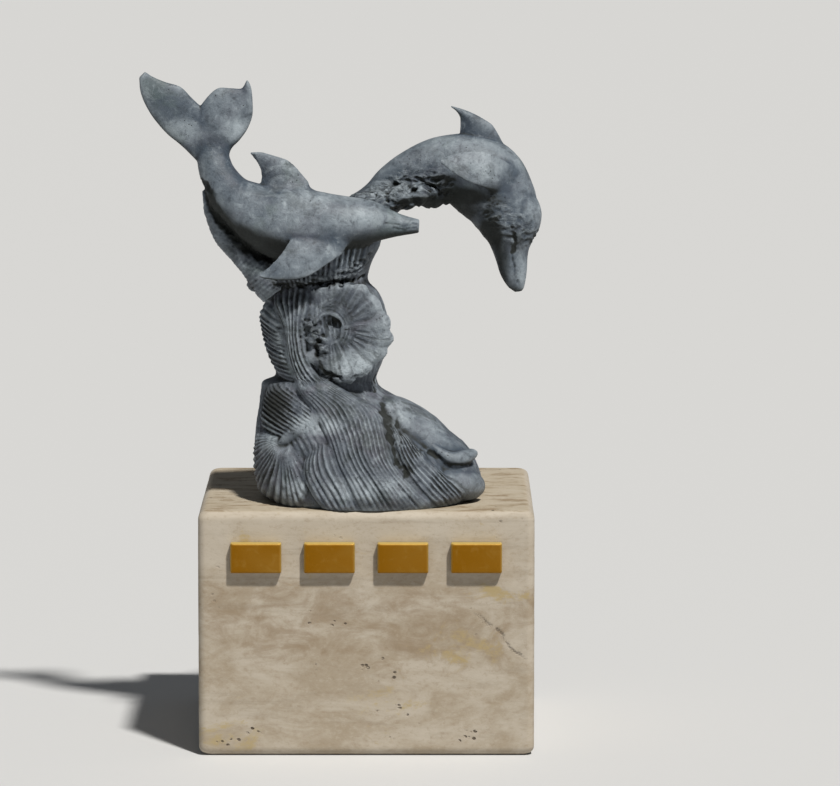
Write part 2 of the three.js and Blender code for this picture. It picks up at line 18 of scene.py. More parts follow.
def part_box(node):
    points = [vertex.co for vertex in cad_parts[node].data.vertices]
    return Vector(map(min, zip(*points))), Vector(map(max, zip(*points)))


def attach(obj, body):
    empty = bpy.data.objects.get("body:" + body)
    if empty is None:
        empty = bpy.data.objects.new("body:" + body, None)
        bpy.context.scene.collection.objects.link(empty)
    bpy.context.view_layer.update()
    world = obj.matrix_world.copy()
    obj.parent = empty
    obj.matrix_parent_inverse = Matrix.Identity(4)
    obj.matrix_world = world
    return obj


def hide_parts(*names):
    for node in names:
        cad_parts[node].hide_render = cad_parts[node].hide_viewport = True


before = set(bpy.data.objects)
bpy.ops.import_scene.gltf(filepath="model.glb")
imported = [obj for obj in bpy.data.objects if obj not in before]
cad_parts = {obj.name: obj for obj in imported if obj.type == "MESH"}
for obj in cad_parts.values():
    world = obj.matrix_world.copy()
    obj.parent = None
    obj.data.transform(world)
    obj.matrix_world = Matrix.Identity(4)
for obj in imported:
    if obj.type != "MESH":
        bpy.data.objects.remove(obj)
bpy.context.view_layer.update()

bl_info = {
    "name": "Marble dolphin statue",
    "version": (1, 0, 0),
    "blender": (4, 5, 0),
    "location": "View3D > Sidebar > Statue",
    "description": "Carves the marble group and finishes its plinth, plates and stage",
    "category": "Object",
}

GROUP = "dolphin_group"
PLINTH = "plinth"
PLATES = [name for name in sorted(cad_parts) if name.startswith("brass_plate_")]

# In the group's own unit: the top of its highest fluke, how far its foot reaches forward, and how
# deep the edge of a sheet of water sits in the core.
FIGURE_TOP = 97.2
FOOT_REACH = 22.2
SEAT = 0.6
# The share of the core's half width from which a sheet wraps round its side.
WRAP = 0.8
# Which way the front and the back of the core face along y.
FRONT, BACK = -1, 1

# The picture's width in pixels, and the colours of the light.
PHOTO_WIDTH = 840
KEY_COLOUR = (1, 0.965, 0.91)
SKY_COLOUR = (0.86, 0.9, 0.95, 1)
SENSOR_WIDTH = 36

# The sockets of a node that mixes two colours: its share, its colours and its result.
MIX_SHARE, MIX_FIRST, MIX_SECOND, MIX_RESULT = 0, 6, 7, 2


class GroupSettings(bpy.types.PropertyGroup):
    """How the marble group is carved and coloured."""

    overhang: FloatProperty(
        name="Overhang",
        description="How far the foot reaches past the flat of the plinth's top",
        default=0.020,
        unit="LENGTH",
    )
    shift: FloatProperty(
        name="Shift",
        description="How far the group's middle is to the right of the plinth's",
        default=0.0085,
        unit="LENGTH",
    )
    grain: FloatProperty(
        name="Grain",
        description="Edge of the small cubes that the carved pieces are joined in",
        default=0.0032,
        unit="LENGTH",
    )
    triangles: IntProperty(
        name="Triangles",
        description="How many triangles the carved group keeps",
        default=192000,
    )
    weathering: FloatProperty(
        name="Weathering",
        description="Depth of the uneven, hand-worked surface",
        default=0.0011,
        unit="LENGTH",
    )
    stone: FloatVectorProperty(
        name="Stone",
        description="Colour of the rough-worked marble of the wave",
        subtype="COLOR",
        default=(0.091, 0.109, 0.136),
    )
    smooth_stone: FloatVectorProperty(
        name="Smooth stone",
        description="Colour of the smoothed marble of the dolphins",
        subtype="COLOR",
        default=(0.054, 0.074, 0.101),
    )
    cloud: FloatVectorProperty(
        name="Cloud",
        description="Lilac colour of the marble's clouds",
        subtype="COLOR",
        default=(0.092, 0.094, 0.122),
    )
    # Also the colour of the painted highlights on ridges, convex edges and lit places.
    vein_and_highlight: FloatVectorProperty(
        name="Vein",
        description="Pale colour of the veins and the bleached ridges",
        subtype="COLOR",
        default=(0.40, 0.46, 0.505),
    )
    # Also the colour of the painted shade in hollows, cuts, grooves and on faces turned down.
    deposit_and_shade: FloatVectorProperty(
        name="Deposit",
        description="Dark colour of what has settled in the hollows",
        subtype="COLOR",
        default=(0.012, 0.014, 0.011),
    )


class PlinthSettings(bpy.types.PropertyGroup):
    """The plinth's rounding and its travertine."""

    edge_radius: FloatProperty(
        name="Edge radius",
        description="Rounding along the top and bottom edges",
        default=0.028,
        unit="LENGTH",
    )
    corner_radius: FloatProperty(
        name="Corner radius",
        description="Rounding of the upright corners",
        default=0.024,
        unit="LENGTH",
    )
    stone: FloatVectorProperty(
        name="Stone",
        description="Main colour of the travertine",
        subtype="COLOR",
        default=(0.36, 0.30, 0.222),
    )
    pale: FloatVectorProperty(
        name="Pale band",
        description="Colour of the pale bands",
        subtype="COLOR",
        default=(0.50, 0.45, 0.375),
    )
    ochre: FloatVectorProperty(
        name="Ochre",
        description="Colour of the ochre patches",
        subtype="COLOR",
        default=(0.40, 0.31, 0.15),
    )
    brown: FloatVectorProperty(
        name="Brown",
        description="Colour of the brown stains",
        subtype="COLOR",
        default=(0.245, 0.175, 0.105),
    )
    pore: FloatVectorProperty(
        name="Pore",
        description="Colour inside the pores and the crack",
        subtype="COLOR",
        default=(0.07, 0.05, 0.032),
    )


class PlateSettings(bpy.types.PropertyGroup):
    """The four brass plates."""

    corner_radius: FloatProperty(
        name="Corner radius",
        description="Rounding of a plate's corners",
        default=0.005,
        unit="LENGTH",
    )
    edge_radius: FloatProperty(
        name="Edge radius",
        description="Rounding of a plate's front edges",
        default=0.008,
        unit="LENGTH",
    )
    # Also the colour of the painted highlights on the plates' upward edges and painted lighter right
    # sides.
    brass: FloatVectorProperty(
        name="Brass",
        description="Colour of the worn metal",
        subtype="COLOR",
        default=(0.66, 0.50, 0.16),
    )
    tarnish: FloatVectorProperty(
        name="Tarnish",
        description="Colour of the tarnished metal",
        subtype="COLOR",
        default=(0.26, 0.108, 0.001),
    )


class StageSettings(bpy.types.PropertyGroup):
    """Floor, light and camera."""

    camera_place: FloatVectorProperty(
        name="Camera",
        description="Where the camera stands",
        subtype="TRANSLATION",
        default=(0.1625, -15.984, 3.125),
    )
    camera_pitch: FloatProperty(
        name="Pitch",
        description="How far the camera looks down",
        subtype="ANGLE",
        default=math.radians(7.4),
    )
    focal_pixels: FloatProperty(
        name="Focal length",
        description="Focal length in pixels of the photograph",
        default=5200,
    )
    key_from: FloatVectorProperty(
        name="Key light",
        description="Where the key light comes from",
        subtype="DIRECTION",
        default=(0.28, -0.48, 0.83),
    )
    key_strength: FloatProperty(
        name="Key strength",
        description="Strength of the key light",
        default=3.9,
    )
    key_softness: FloatProperty(
        name="Key softness",
        description="How wide the key light looks from the statue",
        subtype="ANGLE",
        default=math.radians(4.5),
    )
    fill_strength: FloatProperty(
        name="Fill strength",
        description="Strength of the light from all round",
        default=0.125,
    )
    floor_radius: FloatProperty(
        name="Floor",
        description="Radius of the floor",
        default=75,
        unit="LENGTH",
    )
    floor_colour: FloatVectorProperty(
        name="Floor colour",
        description="Colour of the floor",
        subtype="COLOR",
        default=(0.62, 0.63, 0.64),
    )


def curve(points, share):
    """Places on a smooth curve through the points, and its run there, at shares from 0 to 1."""
    points = np.asarray(points, float)
    last = len(points) - 1
    line = np.concatenate(
        [[2 * points[0] - points[1]], points, [2 * points[-1] - points[-2]]]
    )
    reach = np.clip(np.asarray(share, float), 0, 1) * last
    index = np.minimum(reach.astype(int), last - 1)
    part = (reach - index).reshape((-1,) + (1,) * (points.ndim - 1))
    before, start, end, after = (line[index + step] for step in range(4))
    leave = 0.5 * (end - before)
    arrive = 0.5 * (after - start)
    bend = 3 * (end - start) - 2 * leave - arrive
    twist = 2 * (start - end) + leave + arrive
    place = start + part * (leave + part * (bend + part * twist))
    run = leave + part * (2 * bend + 3 * part * twist)
    return place, run


def unit(vectors):
    """The vectors at length one."""
    return vectors / np.maximum(np.linalg.norm(vectors, axis=-1, keepdims=True), 1e-9)


def turn(sides):
    """Angles once round, without the last."""
    return np.linspace(0, 2 * math.pi, sides, endpoint=False)


# Turns the noise's grid away from the axes.
TILT = np.array([[0.36, 0.48, -0.8], [-0.8, 0.6, 0], [0.48, 0.64, 0.6]])
# Large odd numbers that scatter the values of the noise's grid, and the bits that are kept.
SCATTER_X, SCATTER_Y, SCATTER_Z, SCATTER_SEED = 73856093, 19349663, 83492791, 2654435761
STIR = 1274126177
BITS = 0xFFFFFFFF
SEED_STEP = 37.3


def noise(places, scale, seed=0):
    """Smooth value noise from -1 to 1 at places, its bumps about one scale wide."""
    grid = np.asarray(places, float) @ TILT / scale + SEED_STEP * seed
    cell = np.floor(grid).astype(np.int64)
    part = grid - cell
    part = part * part * (3 - 2 * part)
    total = np.zeros(len(grid))
    for corner in range(8):
        step = np.array([corner & 1, corner >> 1 & 1, corner >> 2 & 1])
        at = cell + step
        mixed = at[:, 0] * SCATTER_X ^ at[:, 1] * SCATTER_Y ^ at[:, 2] * SCATTER_Z
        mixed ^= seed * SCATTER_SEED
        mixed = (mixed ^ mixed >> 13) * STIR & BITS
        value = (mixed ^ mixed >> 16) / BITS * 2 - 1
        weight = np.where(step, part, 1 - part).prod(axis=1)
        total += value * weight
    return total


def body(stations, rings=110, sides=44):
    """A dolphin's body, from tail to beak. Each station is x, y, z, half depth, half width."""
    stations = np.array(stations, float)
    share = np.linspace(0, 1, rings)
    spine, run = curve(stations[:, :3], share)
    girth = curve(stations[:, 3:], share)[0]
    run = unit(run)
    side = unit(np.array([0, 1, 0]) - run * run[:, 1:2])
    back = np.cross(run, side)
    angle = turn(sides)
    return (
        spine[:, None]
        + back[:, None] * (girth[:, :1] * np.cos(angle))[..., None]
        + side[:, None] * (girth[:, 1:] * np.sin(angle))[..., None]
    )


def blade(stations, rings=60, sides=40, keen=0.5, ribs=0, rib=0.0):
    """A fin, a fluke's lobe or a blade of water, from root to tip. Each station is the leading
    edge's x, y, z, the trailing edge's x, y, z and the half thickness. Ribs cross the blade."""
    stations = np.array(stations, float)
    share = np.linspace(0, 1, rings)
    lead, lead_run = curve(stations[:, :3], share)
    trail, trail_run = curve(stations[:, 3:6], share)
    thickness = curve(stations[:, 6:], share)[0]
    chord = lead - trail
    face = unit(np.cross(unit(lead_run) + unit(trail_run), chord))
    swell = 1 + rib * np.cos(2 * math.pi * ribs * share)[:, None]
    angle = turn(sides)
    across = np.sin(angle)
    rise = np.sign(across) * np.abs(across) ** (1 + keen) * thickness * swell
    return (
        ((lead + trail) / 2)[:, None]
        + chord[:, None] * (0.5 * swell * np.cos(angle))[..., None]
        + face[:, None] * rise[..., None]
    )


# The wave's core, a stack of ovals. Each level is z, middle x, half width, middle y, half depth.
CORE = np.array(
    [
        [0, 0.2, 23.4, -0.3, 21.5],
        [2, -0.1, 25.5, -0.3, 21.8],
        [5, -0.5, 25.5, -0.4, 21.6],
        [9, -1.3, 24.9, -0.5, 20.4],
        [12.5, -2.3, 23.8, -0.6, 18.8],
        [16.5, -4.6, 21, -0.8, 16.9],
        [20.6, -7.1, 17.9, -1, 14.8],
        [24.5, -10.4, 14, -1.2, 12.6],
        [26.6, -11, 12.9, -1.4, 11.6],
        [28.2, -9.6, 11.5, -1.5, 10.6],
        [32, -9.3, 12.6, -1.8, 10.4],
        [38, -9.6, 13.7, -2.2, 10.6],
        [43, -10.2, 13.8, -2.6, 10.3],
        [47, -10.4, 12.4, -3, 9.2],
        [50, -12.4, 12, -3.6, 7.4],
        [54, -11.7, 12.1, -4.2, 6.9],
        [58, -9.6, 11.8, -4.8, 6.4],
        [62, -7.5, 10, -5.2, 5],
    ]
)


def core_at(z):
    """The middle x, half width, middle y and half depth of the core at heights z."""
    share = np.interp(np.ravel(z), CORE[:, 0], np.linspace(0, 1, len(CORE)))
    found = curve(CORE[:, 1:], share)[0]
    return found.T.reshape((4,) + np.shape(z))


def core_face(x, z, facing):
    """The y of the core's surface above places on its front or its back."""
    middle_x, half_width, middle_y, half_depth = core_at(z)
    off = np.minimum(0.97, np.abs(x - middle_x) / half_width)
    return middle_y + facing * half_depth * np.sqrt(1 - off * off)


def on_core(x, z, rise, facing):
    """Places at a rise above the core's front or back. Near its sides they wrap round it."""
    middle_x, half_width, middle_y, half_depth = core_at(z)
    off = (x - middle_x) / half_width
    bend = math.asin(WRAP)
    past = np.sign(off) * (bend + (np.abs(off) - WRAP) / math.cos(bend))
    angle = np.where(np.abs(off) < WRAP, np.arcsin(np.clip(off, -WRAP, WRAP)), past)
    out = unit(np.stack([np.sin(angle) / half_width, np.cos(angle) / half_depth], axis=-1))
    return np.stack(
        [
            middle_x + half_width * np.sin(angle) + rise * out[..., 0],
            middle_y + facing * (half_depth * np.cos(angle) + rise * out[..., 1]),
            z,
        ],
        axis=-1,
    )


def core(rings=300, sides=900, flutes=82, groove=0.55, swells=7, swell=0.35, plain_foot=1):
    """The core, its sides worked in long flutes that lean as they rise and lie on broad swells.
    Both grow out of the plain foot."""
    share = np.linspace(0, 1, rings)
    size = curve(CORE, share)[0]
    angle = turn(sides)[None]
    height = size[:, :1]
    lean = 0.012 * height + 0.10 * np.sin(height / 13)
    flute = np.abs(np.sin(flutes / 2 * (angle + lean)))
    broad = np.sin(swells * (angle + 1.6 * lean) + 0.4)
    grow = 1 - np.exp(-((height - plain_foot) / 2.5) ** 2)
    depth = groove * (flute - 1) * (0.55 + 0.45 * broad) * grow + swell * broad * grow
    x = size[:, 1:2] + (size[:, 2:3] + depth) * np.cos(angle)
    y = size[:, 3:4] + (size[:, 4:5] + depth) * np.sin(angle)
    return np.stack([x, y, np.broadcast_to(height, x.shape)], axis=-1)


# The faces of the sheets as they are laid: their places, the same without the grooves, the number
# of the line at each place and how clear the lines are there.
FLUTED = []


def sheet(
    guides, flutes, seed=0, steps=90, facing=FRONT, lift=1.0, groove=0.5, sink=3.0,
    plane=None, dish=0.0, rim=0.0, uneven=0.45, per_flute=12, fine=1, sharp=1.0,
):
    """A fluted sheet of water laid on the core. The guides are lines of x, z places across it, and
    the flutes run from the first guide to the last. It lies on the core's face, or stands on a
    plane of its own. A dish rises towards its last guide, and a rim is scalloped there. Fine says
    how many lines the finish draws for each flute, and sharp how strong they are."""
    draw = np.random.RandomState(seed)
    across = flutes * per_flute
    back_points = 3
    front_share = np.linspace(0, 1, across + 1)
    share = np.concatenate([front_share, 1 - np.arange(1, back_points + 1) / (back_points + 1)])
    on_face = np.arange(len(share)) <= across
    along = np.linspace(0, 1, steps)[:, None]
    lines = np.stack([curve(line, share)[0] for line in guides])
    place, run = curve(lines, along[:, 0])
    drift = 0.16 * np.sin(5 * along + 6 * share + seed) * np.sin(math.pi * share)
    count = share * flutes + drift
    ridge = np.abs(np.sin(math.pi * count))
    depths = 1 - uneven * draw.rand(flutes + 2)
    depth = depths[np.clip(np.round(count).astype(int), 0, flutes + 1)]
    depth = depth * (0.8 + 0.2 * np.sin(9 * along + 2.4 * np.round(count) + seed))
    minor = 0.10 * (np.abs(np.sin(3 * math.pi * count + 1)) - 1)
    if rim:
        push = rim * ridge * along**4 * on_face
        place = place + unit(run) * push[..., None]
    swell = np.sqrt(np.maximum(0, 1 - (2 * share - 1) ** 4))
    ends = np.minimum(1, np.minimum(6 * along + 0.2, 6 * (1 - along) + 0.35))
    x, z = place[..., 0], place[..., 1]
    carved_lift = lift + SEAT + groove * (depth * (ridge - 1) + minor)
    crest = swell * ends * carved_lift - SEAT
    rise = np.where(on_face, crest + dish * along**2, -sink)
    level = swell * ends * (lift + SEAT - 0.5 * groove) - SEAT + dish * along**2
    grid, even = (
        on_core(x, z, height, facing) if plane is None
        else np.stack([x, plane + facing * height, z], axis=-1)
        for height in (rise, level)
    )
    inside = np.clip(5 * np.minimum(share, 1 - share), 0, 1)
    clear = sharp * inside * np.clip(8 * np.minimum(along + 0.06, 1 - along), 0, 1)
    parts = (grid, even, fine * count, clear)
    FLUTED.append([part[:, on_face].reshape(steps * (across + 1), -1) for part in parts])
    return grid


def arc(centre, radii, start, end):
    """Points on an arc about a centre, from one angle to another, in degrees."""
    angle = np.radians(np.linspace(start, end, len(radii)))
    radii = np.array(radii)
    return np.stack([centre[0] + radii * np.cos(angle), centre[1] + radii * np.sin(angle)], axis=-1)


def roll(points, sunk=0.1, height=1.35, width=0.75):
    """A roll of water along points x, z, half thickness on the core's front. How deep it is sunk,
    its height and its width are shares of the half thickness."""
    stations = []
    for x, z, half in points:
        y = float(core_face(x, z, FRONT))
        stations.append([x, y - FRONT * sunk * half, z, height * half, width * half])
    return body(stations, 40, 24)


def lump(place, radius, number, rings=26, sides=30):
    """A rough ball of foam, a little flattened, its knobs turned by its number."""
    along = np.linspace(0, 1, rings)[:, None]
    fall = math.pi * (0.05 + 0.9 * along)
    angle = turn(sides)[None] + number
    size = radius * (1 + 0.13 * np.sin(3 * angle + 2 * number + 4 * along))
    size = size * (1 + 0.07 * np.sin(5 * angle - number + 9 * along))
    return np.stack(
        [
            place[0] + size * np.sin(fall) * np.cos(angle),
            place[1] + size * np.sin(fall) * np.sin(angle),
            place[2] + 0.85 * size * np.cos(fall),
        ],
        axis=-1,
    )


def front_dolphin():
    """The dolphin in front: its tail up on the left, its beak to the right."""
    depth = -9
    trunk = body(
        [
            [-36.3, -5, 83, 2.4, 1.2],
            [-35.4, -5, 79.4, 3.5, 2.5],
            [-34.2, -6, 74.4, 4, 3.5],
            [-31.1, -7, 69.3, 5.2, 4.8],
            [-26.4, -8, 66, 6.6, 6],
            [-21.5, -8.5, 63.7, 7.8, 7],
            [-15.6, depth, 63, 8.5, 7.4],
            [-10, depth, 63.1, 7.3, 7],
            [-4.3, depth, 63.6, 5.8, 6],
            [0.6, depth, 63.6, 4.8, 4.6],
            [3.5, depth, 63.3, 3.7, 3.4],
            [6.2, depth, 63, 2.7, 2.5],
            [8.9, depth, 62.8, 2, 2],
            [11.2, depth, 62.7, 1.5, 1.6],
        ]
    )
    left_lobe = [
        [-37.4, -5, 75.6, -36, -5, 87.6, 1.9],
        [-42.4, -5, 80.6, -39.9, -5, 91.3, 1.7],
        [-46, -5.2, 83.7, -42.3, -5.2, 93.7, 1.5],
        [-49.3, -5.6, 88, -45.9, -5.6, 94.9, 1.2],
        [-51.2, -6, 92.2, -48.6, -6, 96.1, 1],
        [-51.6, -6.4, 95.8, -50.2, -6.4, 97.2, 0.7],
    ]
    right_lobe = [
        [-33, -5, 76.4, -39.4, -5, 87.4, 1.9],
        [-29.8, -5, 80.9, -36.5, -5, 91.3, 1.7],
        [-27.6, -4.8, 83.9, -34, -4.8, 93.4, 1.5],
        [-26.3, -4.6, 87.1, -31.1, -4.6, 93.4, 1.2],
        [-26.2, -4.4, 90.4, -28.8, -4.4, 93.3, 1],
        [-26.5, -4.4, 93.4, -27.9, -4.4, 94.4, 0.7],
        [-27.2, -4.4, 95.1, -27.6, -4.4, 95.2, 0.4],
    ]
    dorsal = [
        [-12, -8.6, 70.6, -25.5, -8.2, 70.2, 1.7],
        [-14.9, -8.4, 74.3, -24.3, -8, 72.9, 1.4],
        [-17.8, -8.2, 77.2, -24.4, -8, 75.2, 1.1],
        [-21.2, -8, 78.5, -25.2, -8, 77, 0.8],
        [-24.1, -8, 79.3, -26.2, -8, 78.4, 0.6],
        [-26.6, -8, 79.2, -26.8, -8, 79.1, 0.3],
    ]
    near_fin = [
        [-3, -11, 60.4, -14.6, -10.6, 66.2, 1.6],
        [-5.2, -14.4, 57.6, -16.1, -14, 63.2, 1.4],
        [-9.2, -16.8, 54.9, -18.1, -16.6, 59.6, 1.2],
        [-13.6, -18.2, 52.2, -20.1, -18, 56.8, 0.9],
        [-18.7, -18.6, 51.4, -22.5, -18.4, 54.4, 0.7],
        [-23.4, -19, 51.9, -24.7, -19, 52.6, 0.4],
    ]
    far_fin = [
        [-3.5, -6, 59.5, -13, -5.5, 61.5, 1.6],
        [-4.5, -1.5, 56.5, -13, -1.5, 58.5, 1.2],
        [-8, 2.5, 53.5, -14.5, 2.5, 55.5, 0.9],
        [-14, 5.5, 51, -17, 5.2, 52.5, 0.5],
    ]
    flukes = [blade(lobe, keen=-0.35) for lobe in (left_lobe, right_lobe)]
    return [trunk, *flukes, *(blade(fin) for fin in (dorsal, near_fin, far_fin))]


def rear_dolphin():
    """The dolphin behind: its tail out of the wave, arching over to the right, its beak down."""
    trunk = body(
        [
            [-17, 3.4, 57.8, 2.2, 2.4],
            [-11, 3, 61, 2.4, 2.6],
            [-5.7, 2.6, 64.4, 2.7, 2.8],
            [0.7, 2.4, 68.3, 3, 3.4],
            [4.7, 2.7, 71.7, 3.7, 4],
            [9.3, 3, 74.2, 4.6, 5],
            [15.2, 3, 75.5, 6.3, 6.2],
            [21, 3, 74.5, 8.4, 7.4],
            [26, 2.5, 72, 9.3, 8],
            [29.3, 2, 67.8, 8.5, 7.6],
            [31, 1, 63.7, 7.3, 6.6],
            [31.7, 0.4, 60.2, 6, 5.2],
            [31.9, 0, 57.2, 4.4, 3.8],
            [32.2, -0.3, 54.4, 3.6, 3],
            [32.6, -0.5, 51.6, 3.1, 2.5],
            [33.1, -0.5, 49.4, 2.4, 2],
            [33.5, -0.5, 47.9, 1.6, 1.4],
            [33.6, -0.5, 47, 0.8, 0.8],
        ]
    )
    melon = body(
        [
            [32.6, 1, 69, 4, 4.6],
            [33.9, 0.6, 65, 4.9, 5.2],
            [34.5, 0.2, 61.8, 4.2, 4.4],
            [34.8, 0, 59.4, 2.7, 3],
            [34.9, 0, 58.3, 1.2, 1.6],
        ],
        50, 36,
    )
    upper_lobe = [
        [-14.5, 3, 61, -19.5, 4, 57, 1.6],
        [-18, 3, 62.5, -23.5, 4, 56.6, 1.4],
        [-22.5, 2.6, 62.8, -26, 3.4, 57.5, 1.2],
        [-26.5, 2.2, 61.6, -27.6, 2.6, 59.6, 0.8],
    ]
    lower_lobe = [
        [-11.5, 3, 58.5, -18, 4, 57.6, 1.6],
        [-9.5, 4.2, 54.5, -18, 4.8, 53, 1.4],
        [-9.5, 5.2, 50.5, -16, 5.6, 49, 1.2],
        [-11.5, 6.8, 47, -13.6, 7, 46.4, 0.9],
    ]
    dorsal = [
        [30.2, 2.6, 80.6, 20.2, 2.6, 81, 1.7],
        [28.1, 2.4, 84.3, 20.4, 2.4, 84, 1.3],
        [25.6, 2.2, 86.1, 20.4, 2.2, 86.2, 1],
        [22.2, 2, 87.8, 19.6, 2, 87.6, 0.7],
        [18.4, 2, 89, 18.2, 2, 88.8, 0.3],
    ]
    near_fin = [
        [32.1, -3, 76.1, 30.1, -4, 69.2, 1.5],
        [26.7, -6.6, 79, 25.8, -8, 71.2, 1.2],
        [21.9, -7, 79.4, 21.3, -9, 73.1, 1],
        [18.3, -7, 78.5, 17.9, -9, 75.4, 0.8],
        [16.1, -7.4, 77.6, 15.9, -8.2, 76.9, 0.4],
    ]
    far_fin = [
        [31.6, 8, 75, 30.1, 8, 68, 1.5],
        [26.7, 11.6, 76.5, 25.4, 12, 69.5, 1.2],
        [22, 12.6, 75.5, 20.9, 13, 69.8, 1],
        [17.4, 12.8, 72.6, 16.6, 13, 70.2, 0.5],
    ]
    fins = (upper_lobe, lower_lobe, dorsal, near_fin, far_fin)
    return [trunk, melon, *(blade(fin) for fin in fins)]


def foam():
    """Foam between the rear dolphin's tail and the front dolphin's head."""
    lumps = [
        [-2, -2, 66, 3.4],
        [1.6, -2, 66.6, 3.1],
        [4.6, -0.6, 67.6, 3.1],
        [7.6, -0.8, 68.6, 3.2],
        [9.4, 0.8, 71.2, 3],
        [11.4, -0.2, 69, 3],
        [14, 0.6, 68.4, 2.8],
        [17, 1.6, 69, 2.6],
        [9, 4.8, 69, 3],
    ]
    return [lump(place, radius, number) for number, (*place, radius) in enumerate(lumps)]


def crest():
    """The curled crest below the front dolphin: a plume on the left, a dished shell with a fine
    arch round its eye, foam between them, and the fluted collar above."""
    eye = [-8.6, 39.6]
    barbs = sheet(
        [
            [[-14.6, 27.4], [-16, 30], [-17.2, 33.2], [-18, 36.4], [-18.7, 39.6], [-20.6, 44.8]],
            [[-18.2, 27.6], [-19.6, 31.2], [-21, 35.2], [-21.8, 38.4], [-22.4, 41.6], [-21.6, 46.6]],
            [[-20.6, 28.4], [-22, 32.6], [-23.4, 36.4], [-24.2, 39.6], [-24.5, 42.6], [-22.4, 47]],
        ],
        flutes=15, seed=3, lift=2, groove=1.3, sink=4, uneven=0.7,
    )
    fan = sheet(
        [
            [[-22, 47.4], [-17.9, 49], [-13.2, 48.7]],
            [[-20.8, 44.3], [-17.2, 45.3], [-13.4, 45.2]],
            [[-18.9, 40.7], [-16.9, 41.1], [-14.4, 40.9]],
            [[-18.2, 35.4], [-16.4, 35.6], [-14.1, 35.2]],
            [[-17.4, 31.3], [-15.4, 31.4], [-12.4, 30.9]],
            [[-16, 27.2], [-13.4, 27.6], [-9.4, 27.4]],
            [[-13.5, 23.3], [-10.4, 24], [-5.4, 24.4]],
        ],
        flutes=7, seed=14, steps=220, lift=2.2, groove=2.2, sink=4, uneven=0.5,
    )
    shell = sheet(
        [
            arc(eye, [1.6, 1.6, 1.6, 1.6, 1.6], -140, 128),
            arc(eye, [5, 6.2, 7.2, 6.6, 6], -140, 124),
            arc(eye, [8.6, 12.4, 13.8, 12.4, 10], -135, 118),
        ],
        flutes=13, seed=8, lift=1.4, groove=0.5, sink=8, plane=-12, dish=0.9, rim=0.6,
        uneven=0.8, fine=2, sharp=0.55,
    )
    arch = body(
        [
            [-12.4, -12.8, 41.4, 0.3, 0.5],
            [-10.6, -12.8, 43.1, 0.5, 0.6],
            [-8.4, -12.9, 43.3, 0.55, 0.7],
            [-6.4, -12.9, 41.8, 0.5, 0.7],
            [-6, -12.8, 39.4, 0.45, 0.6],
            [-6.9, -12.6, 36.8, 0.4, 0.6],
            [-8, -12.4, 34.4, 0.4, 0.5],
        ],
        110, 24,
    )
    collar = sheet(
        [
            [[-21, 48.4], [-12, 49.6], [-1.6, 50.4]],
            [[-22, 52.4], [-12, 53.5], [-0.2, 54.6]],
            [[-20, 58], [-11, 59], [1.6, 60]],
        ],
        flutes=21, seed=5, lift=1, groove=1.3, uneven=0.8,
    )
    spray = [
        [-13.4, -11.8, 40.6, 1.3],
        [-12.6, -12, 37.8, 1.3],
        [-11.2, -12.2, 35, 1.2],
        [-9.8, -12.4, 37.2, 1.1],
        [-25.2, -6, 49.6, 2.2],
        [-23.4, -7.6, 47.6, 2],
    ]
    foams = [lump(place, radius, number) for number, (*place, radius) in enumerate(spray)]
    return [barbs, fan, shell, arch, collar, *foams]


def wing():
    """The ribbed blade of water that follows the front dolphin's belly up to its tail, and the
    stone between the two."""
    ribbed = blade(
        [
            [-17, -7, 52, -23.9, -7, 45.4, 4],
            [-22, -7.6, 54.6, -27, -7, 49.8, 3.4],
            [-26.6, -7, 57.8, -30.5, -6.4, 54.2, 2.8],
            [-30.4, -6.2, 61.6, -34.4, -5.8, 58.6, 2.3],
            [-33.8, -5.8, 66.2, -36.8, -5.4, 64.4, 1.8],
            [-35.8, -5.6, 71, -37.7, -5.4, 70.4, 1],
        ],
        rings=320, sides=48, keen=0, ribs=31, rib=0.035,
    )
    web = body(
        [
            [-16, -4.6, 54.5, 3, 2.5],
            [-22, -4.6, 56.2, 3, 2.5],
            [-27.4, -4.6, 60, 2.8, 2.5],
            [-31.6, -4.4, 64.6, 2.4, 2],
            [-34.6, -4.6, 70.5, 1.5, 1.3],
        ],
        40, 20,
    )
    return [ribbed, web]


